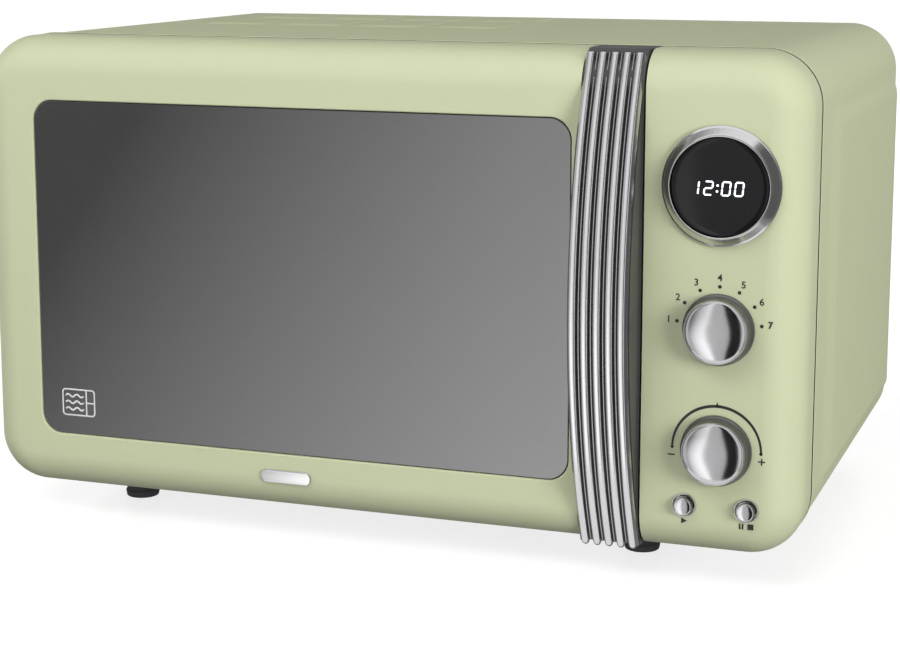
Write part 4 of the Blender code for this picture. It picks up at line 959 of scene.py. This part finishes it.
# ================================================================ the case
CASE_HALF, CASE_TOP = COVER_HIGH.x - SIDE_PRESS, COVER_HIGH.z - TOP_PRESS
CASE_LOW = FACE_BOTTOM + GAP
PRESS_LOW, PRESS_HIGH = FACE_BOTTOM + 0.022, FACE_BOTTOM + 0.212
PRESS_FRONT, PRESS_REAR = COVER_LOW.y + 0.030, COVER_HIGH.y - 0.0015
PRESS_SLOPE, PRESS_FOOT, PRESS_HEAD, PRESS_TAIL = 0.018, 0.008, 0.011, 0.003
COLUMN_LEFT, COLUMN_RIGHT, COLUMN_PITCH = -0.164, -0.124, 0.0475
TOP_COLUMNS = [(COLUMN_LEFT + COLUMN_PITCH * k, COLUMN_RIGHT + COLUMN_PITCH * k) for k in range(4)]
TOP_ROWS = [(COVER_LOW.y + 0.120, COVER_LOW.y + 0.176), (COVER_LOW.y + 0.192, COVER_LOW.y + 0.243)]
TOP_SLOPE, TOP_EDGE = 0.0035, 0.0055
FINE, COARSE = 0.0008, 0.012
HEM = (
    # how far behind the front edge, how far turned out
    (0.0006, -0.0004), (0.00065, 0.0001), (0.0008, 0.0004), (0.0011, 0.0006), (0.0016, 0.0006),
    (0.0022, 0.0004), (0.0032, 0.0001), (0.0042, 0.0),
)


def spaced(low, high, marks, fine, coarse):
    """Values from low to high, fine apart inside the (start, end) marks and coarse apart elsewhere."""
    values = {low, high}
    edges = sorted({low, high, *[min(max(m, low), high) for pair in marks for m in pair]})
    for start, end in zip(edges, edges[1:]):
        middle = (start + end) / 2
        step = fine if any(a <= middle <= b for a, b in marks) else coarse
        count = max(1, round((end - start) / step))
        values.update(start + (end - start) * i / count for i in range(count))
    return sorted(values)


def both_edges(spans, width):
    """The stretches of a width just inside both ends of each span."""
    return [edge for start, end in spans for edge in ((start, start + width), (end - width, end))]


def ramp(distance, width):
    """0 to 1 over a width, with soft ends."""
    t = min(max(distance / width, 0.0), 1.0)
    return t * t * (3 - 2 * t)


def case_section():
    """(x, z, normal x, normal z, kind) round the wrap, from one folded-in lip below to the other."""
    arc, corner_high = 14, CASE_TOP - CASE_CORNER
    lip = BASE_HIGH.x + GAP
    section = [(-lip, CASE_LOW + 0.0003, 0, -1, "fold")]
    start = asin(1 - (CASE_HALF - lip) / CASE_FOLD)
    for i in range(1, arc + 1):
        angle = start + i / arc * (pi / 2 - start)
        x, z = -CASE_HALF + CASE_FOLD * (1 - sin(angle)), CASE_LOW + CASE_FOLD * (1 - cos(angle))
        section.append((x, z, -sin(angle), -cos(angle), "fold"))
    fine = [(PRESS_LOW, PRESS_LOW + 0.012), (PRESS_HIGH - 0.019, PRESS_HIGH)]
    for z in spaced(CASE_LOW + CASE_FOLD, corner_high, fine, 2 * FINE, COARSE)[1:-1]:
        section.append((-CASE_HALF, z, -1, 0, "side"))
    for i in range(arc + 1):
        angle = i / arc * pi / 2
        x, z = -CASE_HALF + CASE_CORNER * (1 - cos(angle)), corner_high + CASE_CORNER * sin(angle)
        section.append((x, z, -cos(angle), sin(angle), "corner"))
    mirrored = [(-x, z, -nx, nz, kind) for x, z, nx, nz, kind in reversed(section)]
    flat = CASE_HALF - CASE_CORNER
    places = spaced(-flat, flat, both_edges(TOP_COLUMNS, TOP_EDGE), FINE, 0.014)[1:-1]
    return section + [(x, CASE_TOP, 0, 1, "top") for x in places] + mirrored


def side_press(y, z):
    """How far the raised panel of the case's side stands out."""
    along = min(max((y - PRESS_FRONT) / PRESS_SLOPE, 0.0), 1.0) * ramp(PRESS_REAR - y, PRESS_TAIL)
    return SIDE_PRESS * along * ramp(z - PRESS_LOW, PRESS_FOOT) * ramp(PRESS_HIGH - z, PRESS_HEAD)


def top_press(x, y):
    """How far the eight small panels of the case's top stand out."""
    for start, end in TOP_COLUMNS:
        for near, far in TOP_ROWS:
            if start < x < end and near < y < far:
                across = ramp(x - start, TOP_SLOPE) * ramp(end - x, TOP_SLOPE)
                return TOP_PRESS * across * ramp(y - near, TOP_SLOPE) * ramp(far - y, TOP_SLOPE)
    return 0.0


def case_depths():
    """The places along Y of the wrap's rows, and how far each is turned out by the rolled hem in front."""
    front, rear = COVER_LOW.y, COVER_HIGH.y
    side_marks = [(PRESS_FRONT, PRESS_FRONT + 0.054), (PRESS_REAR - 0.004, PRESS_REAR)]
    depths = spaced(front, rear, both_edges(TOP_ROWS, TOP_EDGE), FINE, COARSE)
    depths += spaced(PRESS_FRONT, PRESS_REAR, side_marks, 0.003, COARSE)
    rows = [(front + step, out) for step, out in HEM]
    for y in sorted(depths):
        if y - rows[-1][0] > 0.0003:
            rows.append((y, 0.0))
    return rows


def make_case():
    """The steel wrap: one bent sheet with a rolled front hem and pressed panels on its sides and top."""
    section = case_section()
    rings = []
    for y, hem in case_depths():
        ring = []
        for x, z, nx, nz, kind in section:
            press = top_press(x, y) if kind == "top" else side_press(y, z) if abs(nx) > 0.999 else 0.0
            ring.append((x + nx * (hem + press), y, z + nz * (hem + press)))
        rings.append(ring)
    case = loft("case_wrap", rings, caps=(False, False), closed=False)
    thick = case.modifiers.new("sheet", "SOLIDIFY")
    thick.thickness, thick.offset = SHEET, -1
    smooth(case, 40)
    soften(case, 0.00015, 50)
    fit(case, "housing", "green_enamel", "outer_cover", slot="green_enamel")


def make_seam_shadow():
    """A thin dark strip in the seam between the front and the wrap: painted shadow, standing in for the dark of
    the gap.
    """
    near, far, outer, inner = COVER_LOW.y + 0.0001, COVER_LOW.y + 0.0006, 0.00026, -0.0010
    corners = ((inner, near), (outer, near), (outer, far), (inner, far))
    rings = [[(x + nx * out, y, z + nz * out) for out, y in corners] for x, z, nx, nz, _ in case_section()]
    # The dark rubber look of this strip is painted shadow for the gap.
    seam_shadow_strip = loft("painted_seam_shadow", rings)
    smooth(seam_shadow_strip, 40)
    fit(seam_shadow_strip, "housing", "rubber")


# ================================================================ the back and the feet
VENT_PITCH, VENT_HALF = 0.0205, 0.0088
VENTS = (
    # first x, first z, columns, rows, pitch along Z, half the slot's height
    (0.143, 0.096, 3, 9, 0.0075, 0.0019),
    (-0.160, 0.216, 2, 4, 0.0062, 0.0017),
)
GLAND_X, GLAND_Z, GLAND_RADIUS = 0.150, 0.046, 0.0075
SCREWS = [(side * 0.205, z) for side in (-1, 1) for z in (0.060, 0.160)]
SCREWS += [(x, 0.246) for x in (-0.100, 0.0, 0.100)] + [(-0.110, 0.026), (0.060, 0.026), (0.120, 0.060)]


def make_screw(x, y, z, axis):
    """A pan-head screw with a cross recess."""
    profile = [
        (0, 0.0019, 0), (0.0016, 0.0018, 0.0008), (0.0033, 0.0009, 0.0007), (0.0034, -0.0002, 0.0002),
        (0, -0.0002, 0),
    ]
    head = turned("screw", rounded_profile(profile), (0, 0, 0), axis, 28)
    for spin in (0, pi / 2):
        slot = box_solid("slot", (-0.0017, -0.00035, 0.0010), (0.0017, 0.00035, 0.004))
        slot.data.transform(axis_turn(axis) @ Matrix.Rotation(spin + 0.5, 4, "Z"))
        carve(head, slot)
    head.data.transform(Matrix.Translation((x, y, z)))
    return head


def make_back():
    """The back sheet with its round-ended vents and the cord's hole, and the screws on it."""
    back = front_slab("back_sheet", BACK_LOW, BACK_HIGH, CASE_CORNER, 0.0001, HAIR, front_steps=2, steps=14)
    front, rear = BACK_LOW.y - 0.003, BACK_HIGH.y + 0.003
    slots = []
    for first_x, first_z, columns, rows, pitch, radius in VENTS:
        for row in range(rows):
            for column in range(columns):
                x, z = first_x + VENT_PITCH * column, first_z + pitch * row
                sides = (x - VENT_HALF, x + VENT_HALF, z - radius, z + radius)
                slots.append(plate("slot", rounded_outline(*sides, radius * 0.999, 6), front, rear))
    disc = [(0, -CLEAR), (GLAND_RADIUS, -CLEAR), (GLAND_RADIUS, CLEAR), (0, CLEAR)]
    carve(back, merge("slots", slots), turned("hole", disc, (GLAND_X, BACK_HIGH.y, GLAND_Z), (0, 1, 0), 48))
    smooth(back, 30)
    fit(back, "housing", "zinc", "back_panel", slot="galvanised")
    screws = merge("back_screws", [make_screw(x, BACK_HIGH.y, z, (0, 1, 0)) for x, z in SCREWS])
    smooth(screws, 35)
    fit(screws, "housing", "steel")


def make_feet():
    """Four rubber feet, waisted above a broad sole with a hollow in it."""
    for place in ("front_left", "front_right", "rear_left", "rear_right"):
        low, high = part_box(f"foot_{place}")
        centre, radius, top = (low + high) / 2, (high.x - low.x) / 2, high.z
        profile = [
            (0, top, 0), (radius, top, 0.0006), (radius, top - 0.0032, 0.0006),
            (radius - 0.0008, top - 0.0040, 0.0004), (radius - 0.0014, 0.0042, 0.0006),
            (radius - 0.0006, 0.0034, 0.0005), (radius - 0.0012, 0.0, 0.0008), (0.0040, 0.0, 0.0004),
            (0.0034, 0.0030, 0.0004), (0, 0.0030, 0),
        ]
        foot = turned(f"pad_{place}", rounded_profile(profile, 4), (centre.x, centre.y, 0), (0, 0, 1), 64)
        smooth(foot, 40)
        fit(foot, "housing", "rubber", f"foot_{place}", slot="rubber")


# ================================================================ parts that keep the frame's shape
def smoothing_group():
    """Geometry nodes that weld a frame part's mesh and shade it smooth up to an angle."""
    group = bpy.data.node_groups.new("weld_and_smooth", "GeometryNodeTree")
    group.interface.new_socket("Geometry", in_out="INPUT", socket_type="NodeSocketGeometry")
    group.interface.new_socket("Geometry", in_out="OUTPUT", socket_type="NodeSocketGeometry")
    nodes, link = group.nodes, group.links.new
    start, end = nodes.new("NodeGroupInput"), nodes.new("NodeGroupOutput")
    weld = nodes.new("GeometryNodeMergeByDistance")
    weld.inputs["Distance"].default_value = 0.00001
    faces = nodes.new("GeometryNodeSetShadeSmooth")
    edges = nodes.new("GeometryNodeSetShadeSmooth")
    edges.domain = "EDGE"
    edges.inputs["Shade Smooth"].default_value = False
    angle = nodes.new("GeometryNodeInputMeshEdgeAngle")
    wide = nodes.new("FunctionNodeCompare")
    wide.data_type, wide.operation = "FLOAT", "GREATER_THAN"
    wide.inputs["B"].default_value = radians(32)
    link(start.outputs[0], weld.inputs["Geometry"])
    link(weld.outputs[0], faces.inputs["Geometry"])
    link(faces.outputs[0], edges.inputs["Geometry"])
    link(angle.outputs["Unsigned Angle"], wide.inputs["A"])
    link(wide.outputs["Result"], edges.inputs["Selection"])
    link(edges.outputs[0], end.inputs[0])
    return group


DRESSED = {
    "zinc": ("base_plate", "fan_duct", "high_voltage_transformer"),
    # The front frame's dark grey is partly painted shade for the seam in front of it.
    "frame_grey": ("front_frame",),
    "screen": ("door_choke",),
    "enamel": ("cavity",),
    "mica": ("waveguide_cover",),
    "clear": ("door_inner_sheet", "glass_turntable", "oven_lamp"),
    "steel": (
        "upper_hinge_bracket", "lower_hinge_bracket", "upper_hinge_pin", "lower_hinge_pin", "latch_spring",
        "timer_shaft", "selector_encoder", "timer_encoder", "waveguide", "magnetron", "turntable_motor",
        "high_voltage_capacitor",
    ),
    "white_plastic": (
        "door_latch", "latch_board", "turntable_coupler", "roller_ring", "roller_1", "roller_2", "roller_3",
        "fan_blade",
    ),
    "black": (
        "choke_cover", "rear_spacer_left", "rear_spacer_right", "cord_gland", "start_switch", "stop_switch",
        "upper_interlock_switch", "lower_interlock_switch", "fan_motor",
    ),
    "board": ("control_board", "filter_board"),
}


def dress_frame():
    """Gives the frame's own parts their materials and smooth shading."""
    smoothing = smoothing_group()
    for look, nodes in DRESSED.items():
        for node in nodes:
            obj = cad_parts[node]
            obj.data.materials.clear()
            obj.data.materials.append(LOOK[look])
            obj.modifiers.new("smoothing", "NODES").node_group = smoothing


# ================================================================ studio
CARD_Y, CARD_LOW, CARD_HIGH = -1.02, -0.9, 1.4
CARD_MOST, CARD_SLOPE_LOW, CARD_SLOPE_HIGH = 1.7, -0.22, 0.15
LAMPS = (
    # name, place, width, height, watts
    ("key", (-0.25, -0.85, 1.05), 1.1, 0.6, 8.5),
    ("rake", (0.62, -2.3, 0.6), 0.7, 0.7, 4),
    ("fill", (2.1, -1.3, 0.5), 1.0, 1.0, 50),
    ("left", (-2.2, -0.5, 0.8), 1.0, 1.0, 20),
    ("back", (0.3, 2.2, 1.0), 1.8, 1.2, 26),
)
AIM = Vector((0, 0, 0.12))


def make_floor():
    """A pale, slightly glowing floor. The oven doesn't reflect it: its gloss meets the card below instead."""
    bm = bmesh.new()
    bmesh.ops.create_grid(bm, x_segments=1, y_segments=1, size=12.0)
    floor = new_object("studio_floor", bm)
    look = finish_of("floor", (0.36, 0.36, 0.36), 0.16, vary=0.004, rough_vary=0.02, grain=0.0, specular=0.30)
    floor.data.materials.append(glowing(look, (1, 1, 1), 0.74))
    floor.visible_diffuse = floor.visible_glossy = floor.visible_transmission = False


def make_world():
    """White to the camera. To everything else it is brightest at the horizon and dimmer overhead."""
    world = bpy.data.worlds.new("studio")
    bpy.context.scene.world = world
    world.use_nodes = True
    add, nodes, link = node_maker(world), world.node_tree.nodes, world.node_tree.links.new
    height = add("ShaderNodeSeparateXYZ", Vector=add("ShaderNodeTexCoord").outputs["Generated"])
    facing = add("ShaderNodeMapRange", Value=height.outputs["Y"], i1=-0.4, i2=0.6, i3=1.0, i4=0.66)
    share = add("ShaderNodeMapRange", Value=height.outputs["Z"], i1=-1.0, i2=1.0)
    levels = add("ShaderNodeValToRGB", Fac=share.outputs[0])
    stops = levels.color_ramp.elements
    stops[0].position, stops[1].position = 0.0, 1.0
    stops[0].color, stops[1].color = (0.28, 0.28, 0.28, 1), (0.15, 0.15, 0.155, 1)
    for place, level in ((0.40, 0.34), (0.55, 0.72), (0.70, 0.34)):
        stops.new(place).color = (level, level, level, 1)
    lit = nodes["Background"]
    link(levels.outputs["Color"], lit.inputs["Color"])
    link(facing.outputs[0], lit.inputs["Strength"])
    seen = add("ShaderNodeBackground", Color=(1, 1, 1, 1))
    to_camera = add("ShaderNodeLightPath").outputs["Is Camera Ray"]
    mix = add("ShaderNodeMixShader", i0=to_camera, i1=lit.outputs[0], i2=seen.outputs[0])
    link(mix.outputs[0], nodes["World Output"].inputs["Surface"])


def make_lamps():
    for name, place, width, height, watts in LAMPS:
        data = bpy.data.lights.new(name, "AREA")
        data.shape, data.size, data.size_y, data.energy = "RECTANGLE", width, height, watts
        lamp = add_object(name, data)
        lamp.location = place
        lamp.rotation_euler = (AIM - lamp.location).to_track_quat("-Z", "Y").to_euler()
        lamp.visible_glossy = False


def make_card(name, corners, level, across=0.0, upward=0.0, least=0.0, fade=None):
    """A flat card that only glossy rays meet. Its light is level + across * x + upward * z, and never below least.

    fade is (start, end, other level): from start to end along X, the light turns into the other level.
    """
    bm = bmesh.new()
    bm.faces.new([bm.verts.new(p) for p in corners])
    card = new_object(name, bm)
    look = bpy.data.materials.new(name)
    look.use_nodes = True
    add = node_maker(look)
    tree = look.node_tree
    tree.nodes.remove(tree.nodes["Principled BSDF"])
    place = add("ShaderNodeSeparateXYZ", Vector=add("ShaderNodeTexCoord").outputs["Object"])
    slope = add("ShaderNodeMath", {"operation": "MULTIPLY_ADD"}, i0=place.outputs["X"], i1=across, i2=level)
    height = add("ShaderNodeClamp", Value=place.outputs["Z"], Min=CARD_SLOPE_LOW, Max=CARD_SLOPE_HIGH)
    rise = {"i0": height.outputs[0], "i1": upward, "i2": slope.outputs[0]}
    both = add("ShaderNodeMath", {"operation": "MULTIPLY_ADD"}, **rise)
    capped = add("ShaderNodeMath", {"operation": "MINIMUM"}, i0=both.outputs[0], i1=CARD_MOST)
    result = add("ShaderNodeMath", {"operation": "MAXIMUM"}, i0=capped.outputs[0], i1=least)
    if fade:
        start, end, other = fade
        soft = {"interpolation_type": "SMOOTHSTEP"}
        share = add("ShaderNodeMapRange", soft, Value=place.outputs["X"], i1=start, i2=end)
        result = add("ShaderNodeMix", Factor=share.outputs[0], i2=result.outputs[0], i3=other)
    light = add("ShaderNodeEmission", Strength=result.outputs[0])
    tree.links.new(light.outputs[0], tree.nodes["Material Output"].inputs["Surface"])
    card.data.materials.append(look)
    card.visible_camera = card.visible_diffuse = card.visible_shadow = card.visible_transmission = False
    card.visible_volume_scatter = False


def upright(left, right):
    """Corners of a card that stands before the oven."""
    low, high = CARD_LOW, CARD_HIGH
    return (left, CARD_Y, low), (right, CARD_Y, low), (right, CARD_Y, high), (left, CARD_Y, high)


def level_sheet(z):
    """Corners of a card that lies above or below the oven."""
    return (-1.0, -1.2, z), (1.0, -1.2, z), (1.0, -0.2, z), (-1.0, -0.2, z)


def make_cards():
    """What the gloss reflects: light that fades across the window, and a dark band for the bright metal."""
    near, far, side = -0.95, 0.2, 1.3
    beside = (side, near, CARD_LOW), (side, far, CARD_LOW), (side, far, CARD_HIGH), (side, near, CARD_HIGH)
    make_card("card_window", upright(-0.76, 0.19), 1.72, 2.15, -1.52, least=0.22, fade=(-0.09, -0.055, 0.68))
    make_card("card_left", upright(-2.0, -0.76), 0.75)
    make_card("card_dark", upright(0.19, 0.58), 0.015)
    make_card("card_side", upright(0.58, side), 0.9)
    make_card("card_right", beside, 0.12)
    make_card("card_above", level_sheet(CARD_HIGH), 1.0)
    make_card("card_below", level_sheet(CARD_LOW), 1.0)


def make_camera():
    """The camera, in front of the oven to its right and a little above it."""
    data = bpy.data.cameras.new("camera")
    camera = add_object("camera", data)
    camera.location = (0.3748, -1.0545, 0.3173)
    camera.rotation_euler = (radians(90 - 9.455), 0, radians(19.855))
    data.lens, data.sensor_width = 80.2, 36.0
    data.shift_y = -0.08
    data.clip_start, data.clip_end = 0.01, 60
    bpy.context.scene.camera = camera
    bpy.context.scene.view_settings.view_transform = "Standard"


make_camera()
make_floor()
make_world()
make_lamps()
make_cards()
make_door()
make_pane()
make_icon()
make_strip()
make_column()
make_nameplate()
make_panel()
make_ring()
make_lens()
make_digits()
make_knobs()
make_buttons()
make_marks()
make_case()
make_seam_shadow()
make_back()
make_feet()
dress_frame()
